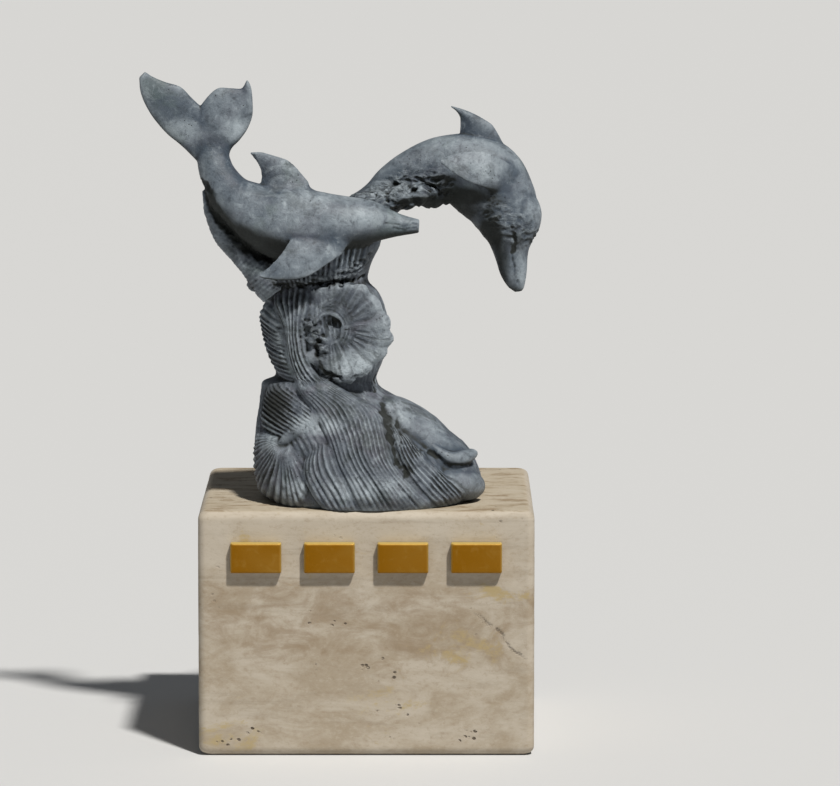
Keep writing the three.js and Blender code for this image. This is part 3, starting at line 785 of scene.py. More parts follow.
def swell_front():
    """The swell at the foot: long sweeps, a shell on the left, a shoulder on the right."""
    hinge = [-18.9, 14.9]
    sweep = sheet(
        [
            [[-17.9, 29.4], [-14.4, 30.2], [-10.6, 29.6]],
            [[-15.8, 25.3], [-10.6, 26.5], [-4.8, 25.6]],
            [[-12.4, 20.9], [-5.2, 22.5], [2.4, 21]],
            [[-9.6, 15.6], [-2.7, 17.4], [4.5, 15.9]],
            [[-7.6, 10], [-0.7, 11.4], [6.7, 10]],
            [[-5.1, 4.9], [2.9, 5.8], [11, 4.9]],
            [[-2.9, -0.5], [7.4, -0.6], [17.3, -1.1]],
        ],
        flutes=15, seed=11, steps=240, lift=2, groove=1.5, uneven=0.75, sharp=0.5,
    )
    right_fan = sheet(
        [
            [[4.5, 17.3], [6.3, 17.8], [7.8, 17.1]],
            [[6, 11], [9.4, 12], [12.1, 11.6]],
            [[9.2, 5.6], [13.6, 6.9], [17.5, 7]],
            [[14.6, -0.6], [19.5, 0], [23, 1.2]],
        ],
        flutes=9, seed=4, steps=160, lift=1.5, groove=1.5, uneven=0.45,
    )
    shell = sheet(
        [
            arc(hinge, [1.2, 1.2, 1.2, 1.2, 1.2], 160, 322),
            arc(hinge, [4, 5, 7.6, 8.2, 4.4], 165, 318),
            arc(hinge, [7.4, 9.4, 14, 16, 7.8], 168, 318),
        ],
        flutes=21, seed=6, steps=120, lift=1.5, groove=1.1, rim=0.3, uneven=0.6,
        sharp=0.7,
    )
    hollow = sheet(
        [
            [[-25.4, 15.6], [-25.2, 21.7], [-23.6, 26], [-18.8, 27.6]],
            [[-22.9, 15], [-20.8, 19.5], [-18.3, 22.7], [-15.1, 24.4]],
            [[-19.2, 14.7], [-16.4, 17.2], [-13.5, 19.3], [-10.6, 21.1]],
        ],
        flutes=13, seed=2, lift=0.9, groove=1.4, uneven=0.7,
    )
    lower_left = sheet(
        [
            [[-14.1, 12.7], [-11.9, 13.9], [-8.8, 15.4]],
            [[-14.8, 7.8], [-11.4, 9], [-7, 9.8]],
            [[-12.8, 3.1], [-8.7, 3.8], [-4.4, 4.4]],
            [[-9.6, -0.8], [-6.3, -0.7], [-2, -0.6]],
        ],
        flutes=7, seed=9, steps=120, lift=1.5, groove=1.1, uneven=0.7, sharp=0.5,
    )
    ridge = roll(
        [
            [-20.4, 13.6, 0.3],
            [-18.6, 15, 1],
            [-16, 17, 1.2],
            [-13.5, 19, 1.2],
            [-11, 20.9, 1],
            [-9, 22.6, 0.3],
        ]
    )
    shoulder = body(
        [
            [-2, -3.4, 17.4, 6, 9],
            [4, -3.6, 18, 5.9, 9.4],
            [10.4, -4.2, 14.8, 5.9, 9.6],
            [14.6, -4.8, 11.3, 5.6, 9.6],
            [18.4, -5.2, 8, 5.2, 8.8],
            [20.6, -5.4, 4.4, 4.4, 8],
        ],
        70, 60,
    )
    lip = body(
        [
            [13.6, -13.2, 14, 0.6, 0.7],
            [16.2, -13.8, 11.8, 1.2, 1.3],
            [18.8, -13.4, 10.6, 1.6, 1.8],
            [21.4, -11.4, 10.6, 1.7, 2],
            [23, -8.4, 11, 1.2, 1.8],
        ],
        60, 28,
    )
    bulge = body(
        [
            [10, -13.4, 6.4, 2.4, 3.4],
            [15.2, -12.4, 5.2, 3.8, 5],
            [19.8, -9, 4.4, 4.1, 5.4],
            [21.8, -4, 3.8, 3.4, 5],
        ],
        50, 40,
    )
    return [sweep, right_fan, shell, hollow, lower_left, ridge, shoulder, lip, bulge]


def swell_back():
    """The back of the wave, plainer: three broad sweeps that rise from the foot to the collar."""
    return [
        sheet(
            [
                [[-22, 0.4], [-6, 0]],
                [[-21.6, 12], [-7.4, 14]],
                [[-19.4, 24], [-9.4, 26]],
                [[-21, 38], [-11, 40]],
                [[-21.4, 50], [-14, 54]],
            ],
            facing=BACK, flutes=10, seed=21, steps=200, lift=1.6, groove=0.9,
        ),
        sheet(
            [
                [[-6.4, 0], [9, 0]],
                [[-7.6, 14], [3.6, 14.6]],
                [[-9.4, 26], [-1.4, 26.6]],
                [[-11, 40], [0.6, 40]],
                [[-13, 53], [-3, 52]],
            ],
            facing=BACK, flutes=10, seed=22, steps=200, lift=1.4, groove=0.9,
        ),
        sheet(
            [
                [[9.4, 0], [22, 0.6]],
                [[5.6, 12], [16.8, 12]],
                [[0.6, 23], [6, 22.4]],
            ],
            facing=BACK, flutes=8, seed=23, steps=120, lift=1.2, groove=0.8,
        ),
    ]


def skins(shells):
    """Closed skins through rings of points, as one list of corners and faces."""
    corners, faces = [], []
    count = 0
    for rings in shells:
        levels, sides = rings.shape[:2]
        spots = np.concatenate([rings.reshape(-1, 3), [rings[0].mean(axis=0)], [rings[-1].mean(axis=0)]])
        level, side = np.meshgrid(np.arange(levels - 1), np.arange(sides), indexing="ij")
        here = (level * sides + side).ravel()
        beside = (level * sides + (side + 1) % sides).ravel()
        quads = np.stack([here, beside, beside + sides, here + sides], axis=-1) + count
        ring = np.arange(sides)
        last = (levels - 1) * sides
        foot = np.stack([(ring + 1) % sides, ring, np.full(sides, levels * sides)], axis=-1) + count
        top = np.stack(
            [last + ring, last + (ring + 1) % sides, np.full(sides, levels * sides + 1)], axis=-1
        ) + count
        corners.append(spots)
        faces += [quads, foot, top]
        count += len(spots)
    return np.concatenate(corners), faces


def mesh_of(name, corners, faces):
    """A mesh from arrays of corners and of faces with three or four corners each."""
    mesh = bpy.data.meshes.new(name)
    loops = np.concatenate([face.ravel() for face in faces]).astype(np.int32)
    sizes = np.concatenate([np.full(len(face), face.shape[1]) for face in faces]).astype(np.int32)
    starts = np.concatenate([[0], np.cumsum(sizes)[:-1]]).astype(np.int32)
    mesh.vertices.add(len(corners))
    mesh.vertices.foreach_set("co", np.asarray(corners, np.float32).ravel())
    mesh.loops.add(len(loops))
    mesh.loops.foreach_set("vertex_index", loops)
    mesh.polygons.add(len(sizes))
    mesh.polygons.foreach_set("loop_start", starts)
    mesh.update(calc_edges=True)
    return mesh


def piece_of(name, mesh):
    """An object for a mesh, in the scene."""
    piece = bpy.data.objects.new(name, mesh)
    bpy.context.scene.collection.objects.link(piece)
    return piece


def through(piece, kind, **settings):
    """The piece's mesh after one modifier."""
    modifier = piece.modifiers.new(kind.title(), kind)
    for setting, value in settings.items():
        setattr(modifier, setting, value)
    graph = bpy.context.evaluated_depsgraph_get()
    mesh = bpy.data.meshes.new_from_object(piece.evaluated_get(graph))
    piece.modifiers.remove(modifier)
    piece.data = mesh
    return mesh


def keep_largest_part(mesh):
    """Deletes all but the mesh's largest connected part, such as specks shut up inside it."""
    work = bmesh.new()
    work.from_mesh(mesh)
    left = set(work.verts)
    parts = []
    while left:
        waiting = [left.pop()]
        part = []
        while waiting:
            corner = waiting.pop()
            part.append(corner)
            beside = {edge.other_vert(corner) for edge in corner.link_edges} & left
            left -= beside
            waiting.extend(beside)
        parts.append(part)
    parts.sort(key=len)
    for part in parts[:-1]:
        bmesh.ops.delete(work, geom=part, context="VERTS")
    work.to_mesh(mesh)
    work.free()


def corners_of(mesh):
    """The mesh's corners as an array."""
    corners = np.empty(len(mesh.vertices) * 3, np.float32)
    mesh.vertices.foreach_get("co", corners)
    return corners.reshape(-1, 3).astype(float)


def normals_of(mesh):
    """The mesh's normals at its corners as an array."""
    normals = np.empty(len(mesh.vertices) * 3, np.float32)
    mesh.vertex_normals.foreach_get("vector", normals)
    return normals.reshape(-1, 3).astype(float)


def place_corners(mesh, corners):
    """Moves the mesh's corners."""
    mesh.vertices.foreach_set("co", corners.astype(np.float32).ravel())
    mesh.update()


def edge_ends(mesh):
    """The numbers of the corners at the start and at the end of each of the mesh's edges."""
    edges = np.empty(len(mesh.edges) * 2, np.int32)
    mesh.edges.foreach_get("vertices", edges)
    return edges.reshape(-1, 2).T


def relaxed(mesh, values, rounds, pull=0.5):
    """Values at the mesh's corners, drawn towards their neighbours' mean some rounds long."""
    start, end = edge_ends(mesh)
    count = len(mesh.vertices)
    neighbours = np.maximum(np.bincount(start, minlength=count) + np.bincount(end, minlength=count), 1)
    values = np.array(values, float)
    for _ in range(rounds):
        for axis in range(values.shape[1]):
            column = values[:, axis]
            total = np.bincount(start, column[end], count) + np.bincount(end, column[start], count)
            values[:, axis] = column + pull * (total / neighbours - column)
    return values


def nearness(places, line, width):
    """One on a line of points, falling to none at a width from it."""
    line = np.asarray(line, float)
    per_point = 12
    path = curve(line, np.linspace(0, 1, per_point * len(line)))[0]
    low, high = path.min(axis=0) - width, path.max(axis=0) + width
    near = np.flatnonzero(((places >= low) & (places <= high)).all(axis=1))
    close = np.full(len(places), 1.0)
    if len(near):
        gaps = np.full(len(near), np.inf)
        for point in path:
            gaps = np.minimum(gaps, ((places[near] - point) ** 2).sum(axis=1))
        close[near] = np.minimum(1, np.sqrt(gaps) / width)
    return (1 - close**2) ** 2


# Cuts of the chisel: a line of x, z places, the y range that it is cut in, its width, its depth
# and how dark it is painted, as dirt in the cut together with painted shade.
CUTS = [
    # the crevice beside the arch, below the shell
    (
        [[-11.4, 36.8], [-11.7, 34], [-10.7, 31.4], [-8.8, 29.7], [-6.4, 28.9]],
        (-20, -7), 0.6, 1.2, 1.0,
    ),
    # the crease between the long sweeps and the right shoulder
    (
        [[2.6, 22.6], [3.8, 19.4], [4.8, 15.6], [6, 12.4], [8.4, 8.4]],
        (-26, -8), 1.5, 0.45, 0.4,
    ),
    # the flute beside it on the shoulder
    ([[5.6, 21.6], [6.4, 18.6], [7.6, 15.4]], (-26, -8), 0.9, 0.35, 0.2),
    # the hollow left of the lip, and the line under the lip
    ([[13.6, 12.2], [15.4, 10.9], [17, 9.8]], (-26, -5), 0.9, 0.35, 0.35),
    ([[17, 9.6], [19.6, 8.9], [22.6, 8.9]], (-26, -5), 0.6, 0.3, 0.35),
    # the front dolphin's mouth
    ([[3.2, 63.5], [7, 63.3], [11.8, 63.4]], (-16, -9), 0.36, 0.28, 0.4),
    ([[5, 62.5], [8, 62.3], [11.8, 62.4]], (-16, -9), 0.3, 0.2, 0.3),
    # the rear dolphin's mouth
    ([[32.5, 60.2], [32.8, 58.2], [32.5, 56]], (-12, -0.5), 0.5, 0.5, 0.7),
    ([[32.6, 55.6], [32.9, 52.4], [33.3, 49.4]], (-12, -0.5), 0.35, 0.2, 0.15),
    # between the front dolphin's belly and the ribbed blade
    ([[-37, 72], [-34.4, 65.6], [-29, 59.4], [-23.6, 55], [-18, 53]], (-16, -3), 1.5, 0.5, 1.0),
    # the ledge above the fan and the shell
    ([[-21, 49.6], [-14, 50], [-6, 50.4], [-1, 51]], (-18, -5), 0.45, 0.5, 0.5),
    # the edge below the shell on the right
    ([[1.2, 28.4], [1.3, 25]], (-14, -3), 0.5, 0.4, 0.5),
]

# Drilled holes below the ledge, in the eye and in the foam: x, z, y range, radius and depth.
HOLES = [
    (-14.4, 49.6, (-16, -5), 0.6, 1.2),
    (-11, 50, (-16, -5), 0.7, 1.2),
    (-9.4, 49.2, (-16, -5), 0.5, 0.8),
    (-8.2, 50.4, (-16, -5), 0.5, 1.0),
    (-6.2, 50, (-16, -5), 0.7, 1.2),
    (-3.6, 50.7, (-16, -5), 0.5, 1.0),
    (-15.2, 38, (-17, -8), 0.45, 0.8),
    (-9.2, 40.4, (-17, -8), 2.6, 0.7),
    (-7.8, 41.4, (-17, -8), 1.6, 0.6),
    (-11.9, 35.2, (-17, -8), 0.7, 1.0),
    (7.4, 71, (-6, 2), 0.5, 0.6),
    (10.6, 70, (-6, 2), 0.6, 0.7),
    (4.2, 69.2, (-6, 2), 0.5, 0.6),
]

# Rough places: a line of x, y, z places, the width of the rough band round it and how rough.
ROUGH = [
    ([[-3, -3, 66.5], [4, -2, 68.6], [10, -1, 71], [16, -1, 71.6]], 5.6, 0.5),
    ([[-13.4, -13, 41], [-12, -13, 37.6], [-10.6, -13.2, 34.4]], 3, 0.55),
    ([[-26, -6, 50], [-22, -8, 49]], 3.4, 0.5),
    ([[-20, -10, 50], [-8, -12, 51], [1, -8, 55]], 3, 0.45),
    ([[27, -5, 66], [33, -5, 62], [36, 0, 60]], 5, 0.22),
    ([[-35, -5, 66], [-30, -7, 58], [-24, -8, 50]], 4, 0.22),
    ([[-9, -12, 29.4], [-2, -12, 30]], 3, 0.35),
    ([[8, -18, 15], [12, -17, 13]], 3, 0.25),
]


def ragged(places):
    """The places' x and z, wavering a little, as a chisel's line does."""
    waver = [0.45 * noise(places, 2.2, seed) + 0.3 * noise(places, 0.7, seed + 1) for seed in (11, 13)]
    return places[:, [0, 2]] + np.stack(waver, axis=-1)


def rough_share(places):
    """How rough the stone is left."""
    rough = np.zeros(len(places))
    for line, width, force in ROUGH:
        rough = np.maximum(rough, force * nearness(places, line, width))
    return rough


# Where a fin grows out of its body: a line of x, y, z places and the width worked smooth.
ROOTS = [
    ([[-2, -11.5, 60], [-7, -14.5, 61.4], [-13, -15.5, 64.6], [-16, -14, 66.4]], 4.6),
    ([[33, -3.5, 75], [31, -5, 73], [30, -4.5, 69.4]], 3),
    ([[-12, -9, 71], [-18, -10, 71.4], [-25.5, -9, 70]], 2),
    ([[-37, -5, 82], [-34, -6.5, 80], [-32, -5, 80]], 3.4),
    ([[13.6, -13, 12.6], [17, -13.4, 9.8], [21, -11, 9]], 2.2),
    ([[-20, -17, 14], [-16, -16, 17.2], [-10, -15, 21.6]], 2.2),
    ([[-17, -12, 27], [-18.4, -11.4, 33], [-19.2, -10.8, 38], [-20.6, -9.6, 44]], 1.7),
]


def struck(places, normals, depths, steepest):
    """Which places a chisel from the front reaches, in a range of y, on faces that aren't turned
    further away than the steepest."""
    near, far = depths
    return (places[:, 1] > near) & (places[:, 1] < far) & (normals[:, 1] < steepest)


def carved(places, normals):
    """How far the finer carving moves places out, in the group's own unit."""
    steepest = 0.3
    moved = np.zeros(len(places))
    flat = ragged(places)
    force = np.clip(0.75 + 1.1 * noise(places, 1.4, 12), 0, 1.3)
    for line, depths, width, depth, _ in CUTS:
        here = struck(places, normals, depths, steepest)
        moved -= depth * force * nearness(flat, line, width) * here
    for x, z, depths, radius, depth in HOLES:
        here = struck(places, normals, depths, steepest)
        gap = np.hypot(flat[:, 0] - x, flat[:, 1] - z) / radius
        moved -= depth * np.maximum(0, 1 - gap**2) * here
    rough = rough_share(places)
    knobs = 1 - 2.2 * np.abs(noise(places * [0.6, 1, 1.5] + 0.5 * places[:, [2, 0, 1]], 2, 3))
    knobs = knobs + 0.9 * (1 - 2 * np.abs(noise(places * [0.8, 1, 1.3], 0.9, 4)))
    return moved + rough * knobs


def cut_shade_and_dirt(places, normals):
    """How dark the chisel's cuts are painted: grime in them together with painted shade."""
    steepest, spread = 0.5, 1.3
    dark = np.zeros(len(places))
    flat = ragged(places)
    patchiness = np.clip(0.8 + 0.7 * noise(places, 1.2, 15), 0.15, 1.2)
    for line, depths, width, _, dirt_and_shade in CUTS:
        here = struck(places, normals, depths, steepest)
        dark = np.maximum(dark, dirt_and_shade * patchiness * nearness(flat, line, spread * width) * here)
    return dark


class Flow:
    """A value in a material's nodes that takes part in sums, each of which adds a Math node."""

    def __init__(self, finish, socket):
        self.finish = finish
        self.socket = socket

    def sum_of(self, operation, *terms):
        """The result of a Math node."""
        settings = {"operation": operation}
        return self.finish.node("ShaderNodeMath", settings, dict(enumerate(terms)))

    def __add__(self, other):
        return self.sum_of("ADD", self, other)

    def __sub__(self, other):
        return self.sum_of("SUBTRACT", self, other)

    def __rsub__(self, other):
        return self.sum_of("SUBTRACT", other, self)

    def __mul__(self, other):
        return self.sum_of("MULTIPLY", self, other)

    def __abs__(self):
        return self.sum_of("ABSOLUTE", self)

    def at_most(self, other):
        return self.sum_of("MINIMUM", self, other)

    def at_least(self, other):
        return self.sum_of("MAXIMUM", self, other)

    def folded(self):
        """Nought at whole numbers and a half between them."""
        return self.sum_of("PINGPONG", self, 0.5)

    def step(self, low, high):
        """Nought below low, one above high, and smooth between."""
        settings = {"interpolation_type": "SMOOTHSTEP"}
        inputs = {"Value": self, "From Min": low, "From Max": high}
        return self.finish.node("ShaderNodeMapRange", settings, inputs)

    __radd__ = __add__
    __rmul__ = __mul__


class Finish:
    """A material, and what its nodes are made with."""

    def __init__(self, name):
        self.material = bpy.data.materials.new(name)
        self.material.use_nodes = True
        self.tree = self.material.node_tree
        self.tree.nodes.clear()
        self.shader = self.tree.nodes.new("ShaderNodeBsdfPrincipled")
        output = self.tree.nodes.new("ShaderNodeOutputMaterial")
        self.tree.links.new(self.shader.outputs["BSDF"], output.inputs["Surface"])
        self.places = self.node("ShaderNodeTexCoord", {}, {}, "Object")

    def node(self, kind, settings, inputs, output=0):
        """A node of a kind, its settings set first, then the values or links of its sockets."""
        made = self.tree.nodes.new(kind)
        for setting, value in settings.items():
            setattr(made, setting, value)
        for name, value in inputs.items():
            self.feed(made.inputs[name], value)
        return Flow(self, made.outputs[output])

    def feed(self, socket, value):
        """Links a flow to a socket, or sets its value."""
        if isinstance(value, Flow):
            self.tree.links.new(value.socket, socket)
        elif socket.type == "RGBA":
            socket.default_value = (*value, 1)
        else:
            socket.default_value = value

    def set(self, values):
        """Feeds the shader's sockets by their names."""
        for name, value in values.items():
            self.feed(self.shader.inputs[name], value)

    def noise(self, scale, detail=4, roughness=0.55, distortion=0, places=None):
        """Cloudy noise, most of it near one half."""
        inputs = {
            "Vector": places or self.places,
            "Scale": scale,
            "Detail": detail,
            "Roughness": roughness,
            "Distortion": distortion,
        }
        return self.node("ShaderNodeTexNoise", {}, inputs, "Fac")

    def cells(self, scale, places=None):
        """How far the nearest of many scattered spots is."""
        inputs = {"Vector": places or self.places, "Scale": scale}
        return self.node("ShaderNodeTexVoronoi", {}, inputs, "Distance")

    def stretched(self, x, y, z):
        """The places, each axis at its own scale."""
        return self.node(
            "ShaderNodeMapping", {}, {"Vector": self.places, "Scale": (x, y, z)}, "Vector"
        )

    def height(self):
        """How high a place is."""
        return self.node("ShaderNodeSeparateXYZ", {}, {"Vector": self.places}, "Z")

    def painted(self, name):
        """A value that the mesh carries."""
        return self.node("ShaderNodeAttribute", {"attribute_name": name}, {}, "Fac")

    def blend(self, share, first, second):
        """Two colours, the second by a share."""
        settings = {"data_type": "RGBA"}
        inputs = {MIX_SHARE: share, MIX_FIRST: first, MIX_SECOND: second}
        return self.node("ShaderNodeMix", settings, inputs, MIX_RESULT)

    def bump(self, height, distance):
        """Makes the surface look raised by a height, times a distance in metres."""
        inputs = {"Height": height, "Distance": distance}
        self.set({"Normal": self.node("ShaderNodeBump", {}, inputs, "Normal")})


def colours(settings, *names):
    """Colours from the settings by their names."""
    return [tuple(getattr(settings, name)) for name in names]


def shade(colour, share):
    """A colour at a share of its brightness."""
    return tuple(share * value for value in colour)


# The marble's green cast by channel, how bright damp stone is, and the depth of each finish's
# finest relief in metres.
GREEN_CAST = (0.9, 1.06, 0.8)
DAMP_SHADE = 0.3
MARBLE_RELIEF = 0.0045
TRAVERTINE_RELIEF = 0.0017
BRASS_RELIEF = 0.0006


def marble(settings):
    """Weathered grey marble, rough on the wave and smooth on the dolphins: clouds, pale veins and
    mottling, pale patches with painted highlights, dark deposits with painted shade in the hollows,
    grooves and on faces turned down, and black specks."""
    finish = Finish("Grey marble")
    stone, smooth_stone, cloud, vein_and_highlight, deposit_and_shade = colours(
        settings, "stone", "smooth_stone", "cloud", "vein_and_highlight", "deposit_and_shade"
    )
    hollow = finish.painted("hollow")
    bleach = finish.painted("bleach")
    figure = finish.painted("figure")
    large = finish.noise(4.2, 4, 0.55, 0.5)
    clouds = finish.noise(9, 6, 0.62, 0.8)
    mottle = finish.noise(30, 8, 0.7, 0.5)
    fine = finish.noise(95, 6, 0.72)
    # the stone's own colour, with lilac clouds and a green cast
    colour = finish.blend(figure, stone, smooth_stone)
    colour = finish.blend(clouds.step(0.48, 0.64) * (0.75 - figure * 0.45), colour, cloud)
    green = tuple(value * share for value, share in zip(stone, GREEN_CAST))
    colour = finish.blend(finish.noise(6, 5, 0.6, 0.3).step(0.56, 0.68) * 0.5, colour, green)
    # pale veins and mottling, and the pale patches, partly pale stone and partly painted highlights
    streak = finish.noise(7, 4, 0.5, 1.3)
    veins = (1 - abs(streak - 0.5) * 20).at_least(0) * large.step(0.45, 0.6)
    pale = veins * (0.4 - figure * 0.2) + mottle.step(0.52, 0.74) * 0.5 + fine.step(0.55, 0.72) * 0.25
    colour = finish.blend((pale * (0.55 + large.step(0.4, 0.62) * 0.5)).at_most(0.9), colour, vein_and_highlight)
    colour = finish.blend((bleach * (mottle * 1.8 + 0.05)).at_most(0.95), colour, vein_and_highlight)
    # dark mottling and damp patches
    dark_share = mottle.step(0.5, 0.3) * 0.5 + fine.step(0.47, 0.3) * 0.45
    colour = finish.blend(dark_share, colour, shade(stone, DAMP_SHADE))
    damp = finish.noise(10, 7, 0.7, 0.6).step(0.5, 0.36) * (0.55 - figure * 0.4)
    colour = finish.blend(damp, colour, shade(green, DAMP_SHADE))
    # the fine lines of the flutes: painted shade with dirt in the grooves and painted highlights on the
    # ridges between them
    number = finish.painted("flutes") + (finish.noise(16, 3, 0.6) - 0.5) * 0.8
    fluted = finish.painted("fluted")
    grooved = number.folded().step(0.34, 0.08) * fluted * finish.noise(14, 5, 0.65).step(0.4, 0.58)
    crested = number.folded().step(0.34, 0.5) * fluted * mottle.step(0.4, 0.62)
    colour = finish.blend(crested * 0.5, colour, vein_and_highlight)
    colour = finish.blend(grooved * 0.85, colour, deposit_and_shade)
    # dark bark lines in rough places; painted shade with dirt in the hollows, in the cuts and on faces
    # turned down; and specks
    rough = finish.painted("rough")
    bark = abs(finish.noise(34, 5, 0.6, 0.8, finish.stretched(0.8, 1, 1.5)) - 0.5).step(0.1, 0.0)
    colour = finish.blend(bark * rough * 0.9, colour, deposit_and_shade)
    # This mask is painted shade with dirt together, from the hollow attribute.
    settled_and_shaded = (hollow * (0.6 + 0.8 * mottle)).step(0.1, 0.8)
    colour = finish.blend(settled_and_shaded * 0.94, colour, deposit_and_shade)
    specks = finish.cells(75).step(0.2, 0.08) * finish.noise(13, 4, 0.6).step(0.52, 0.62)
    colour = finish.blend(specks * 0.8, colour, deposit_and_shade)
    finish.set(
        {
            "Base Color": colour,
            "Roughness": 0.56 + settled_and_shaded * 0.28 - figure * 0.08,
            "Specular IOR Level": 0.35,
        }
    )
    grain = mottle * 0.5 + fine * 0.7 + finish.noise(300, 4, 0.6) * 0.2 - specks * 0.5
    grain = grain * (1 - figure * 0.4) - grooved * 0.8 - bark * rough * 1.2
    finish.bump(grain, MARBLE_RELIEF)
    return finish.material


def travertine(settings):
    """Travertine: pale clouds and faint beds, brown and ochre stains, clusters of pores and a
    crack. Its top face is weathered in streaks."""
    finish = Finish("Travertine")
    stone, pale, ochre, brown, pore = colours(settings, "stone", "pale", "ochre", "brown", "pore")
    height = finish.height()
    clouds = finish.noise(4.5, 6, 0.6, 0.8, finish.stretched(1, 1, 2))
    beds = finish.noise(3, 8, 0.7, 0.4, finish.stretched(1, 1, 9))
    fine = finish.noise(60, 6, 0.7, 0.3, finish.stretched(1, 1, 1.6))
    # pale clouds, a paler upper part and faint beds
    colour = finish.blend(clouds.step(0.36, 0.66) * 0.8, stone, pale)
    colour = finish.blend(height.step(0.46, 0.72) * 0.6, colour, pale)
    colour = finish.blend(beds.step(0.5, 0.3) * 0.4, colour, shade(stone, 0.78))
    colour = finish.blend(fine.step(0.5, 0.7) * 0.35, colour, pale)
    colour = finish.blend(fine.step(0.48, 0.34) * 0.25, colour, brown)
    # brown and ochre stains
    patches = finish.noise(8, 7, 0.68, 1.0, finish.stretched(1, 1, 1.7))
    stained = (height.step(0.2, 0.34) * height.step(0.6, 0.46) * 0.2 + patches).step(0.58, 0.86)
    colour = finish.blend(stained * 0.6, colour, brown)
    rust = (finish.painted("ochre") * 1.1 + (patches - 0.5) * 2.8 + (fine - 0.5) * 1.6).step(0.4, 1.05)
    colour = finish.blend(rust * 0.8, colour, ochre)
    # the weathered top
    plinth_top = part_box(PLINTH)[1].z
    top = height.step(plinth_top - 0.005, plinth_top - 0.0002)
    streaks = finish.noise(20, 6, 0.72, 0.5, finish.stretched(0.4, 1.2, 1))
    colour = finish.blend(top * 0.2, colour, ochre)
    colour = finish.blend(top * streaks.step(0.5, 0.6) * 0.75, colour, brown)
    colour = finish.blend(top * streaks.step(0.46, 0.36) * 0.6, colour, pale)
    # pores and the crack
    pits = finish.cells(34, finish.stretched(1.2, 1, 1.5))
    clusters = finish.noise(6, 5, 0.65) * 0.62 + finish.noise(34, 3) * 0.1
    pored = (finish.painted("pored") * 0.5 + clusters + top * 0.06).step(0.42, 0.5)
    pores = pits.step(0.3, 0.16) * pored * finish.noise(22, 3).step(0.46, 0.56)
    cracked = finish.painted("fissure") * finish.noise(40, 4, 0.6).step(0.42, 0.64)
    open_stone = (pores + cracked * 0.8).at_most(1)
    colour = finish.blend(open_stone * 0.9, colour, pore)
    finish.set({"Base Color": colour, "Roughness": 0.62 + fine * 0.12, "Specular IOR Level": 0.3})
    finish.bump(beds * 0.3 + fine * 0.3 - open_stone * 2.6, TRAVERTINE_RELIEF)
    return finish.material


def aged_brass(settings):
    """Brass, tarnished on its faces, with painted highlights and some wear on its upward edges and a
    painted lighter right side.
    """
    finish = Finish("Aged brass")
    # This mask holds the painted highlights on the upward edges and the painted lighter right side, with
    # some wear.
    worn = finish.painted("worn")
    cloud = finish.noise(24, 6, 0.65, 0.4)
    bright = (worn + cloud.step(0.5, 0.8) * 0.12).at_most(1)
    finish.set(
        {
            "Base Color": finish.blend(bright, *colours(settings, "tarnish", "brass")),
            "Roughness": 0.46 - worn * 0.1 + cloud * 0.1,
            "Metallic": 0.4,
            "Specular IOR Level": 0.1,
        }
    )
    finish.bump(finish.noise(220, 5, 0.6) + finish.noise(40, 3) * 0.6, BRASS_RELIEF)
    return finish.material


def paint(mesh, name, values):
    """Gives the mesh a value at each corner."""
    mesh.attributes.new(name, "FLOAT", "POINT").data.foreach_set("value", values.astype(np.float32))


def patch(places, centre, radii):
    """One at a centre, falling to none at the radii."""
    gap = (((places - np.array(centre)) / np.array(radii)) ** 2).sum(axis=1)
    return np.maximum(0, 1 - gap)


# Pale places, partly pale stone and partly painted highlights where the light falls: the middle
# x, y, z, the reach each way and how pale.
PALE_AND_HIGHLIT_PATCHES = [
    ((-42, -6, 84), (5, 6, 3.4), 0.6),
    ((-30, -6, 84), (4.5, 6, 3.5), 0.45),
    ((-2.5, -13, 32), (8, 8, 4), 1.0),
    ((3, -13, 40), (4.5, 8, 7), 0.4),
    ((-20, -12, 39), (3.5, 6, 8), 0.35),
    ((-16, -13, 33), (4, 6, 8), 0.35),
    ((-12, -16, 18.6), (8, 8, 2.8), 0.8),
    ((-22, -14, 14), (5, 8, 3), 0.5),
    ((0, -20, 5), (12, 8, 3.5), 0.6),
    ((-18, -20, 4), (7, 8, 3), 0.5),
    ((24, -8, 76), (9, 7, 4.4), 0.3),
    ((6, -11, 65), (8, 6, 2.4), 0.3),
    ((-12, -9, 69), (14, 6, 2), 0.4),
    ((-3, -15, 64.6), (8, 7, 3), 0.35),
    ((4, -4, 70.6), (9, 6, 2.6), 0.5),
    ((34.6, -4, 52.6), (2, 5, 6), 0.35),
    ((6, -12, 18), (4.5, 8, 7), 0.3),
]

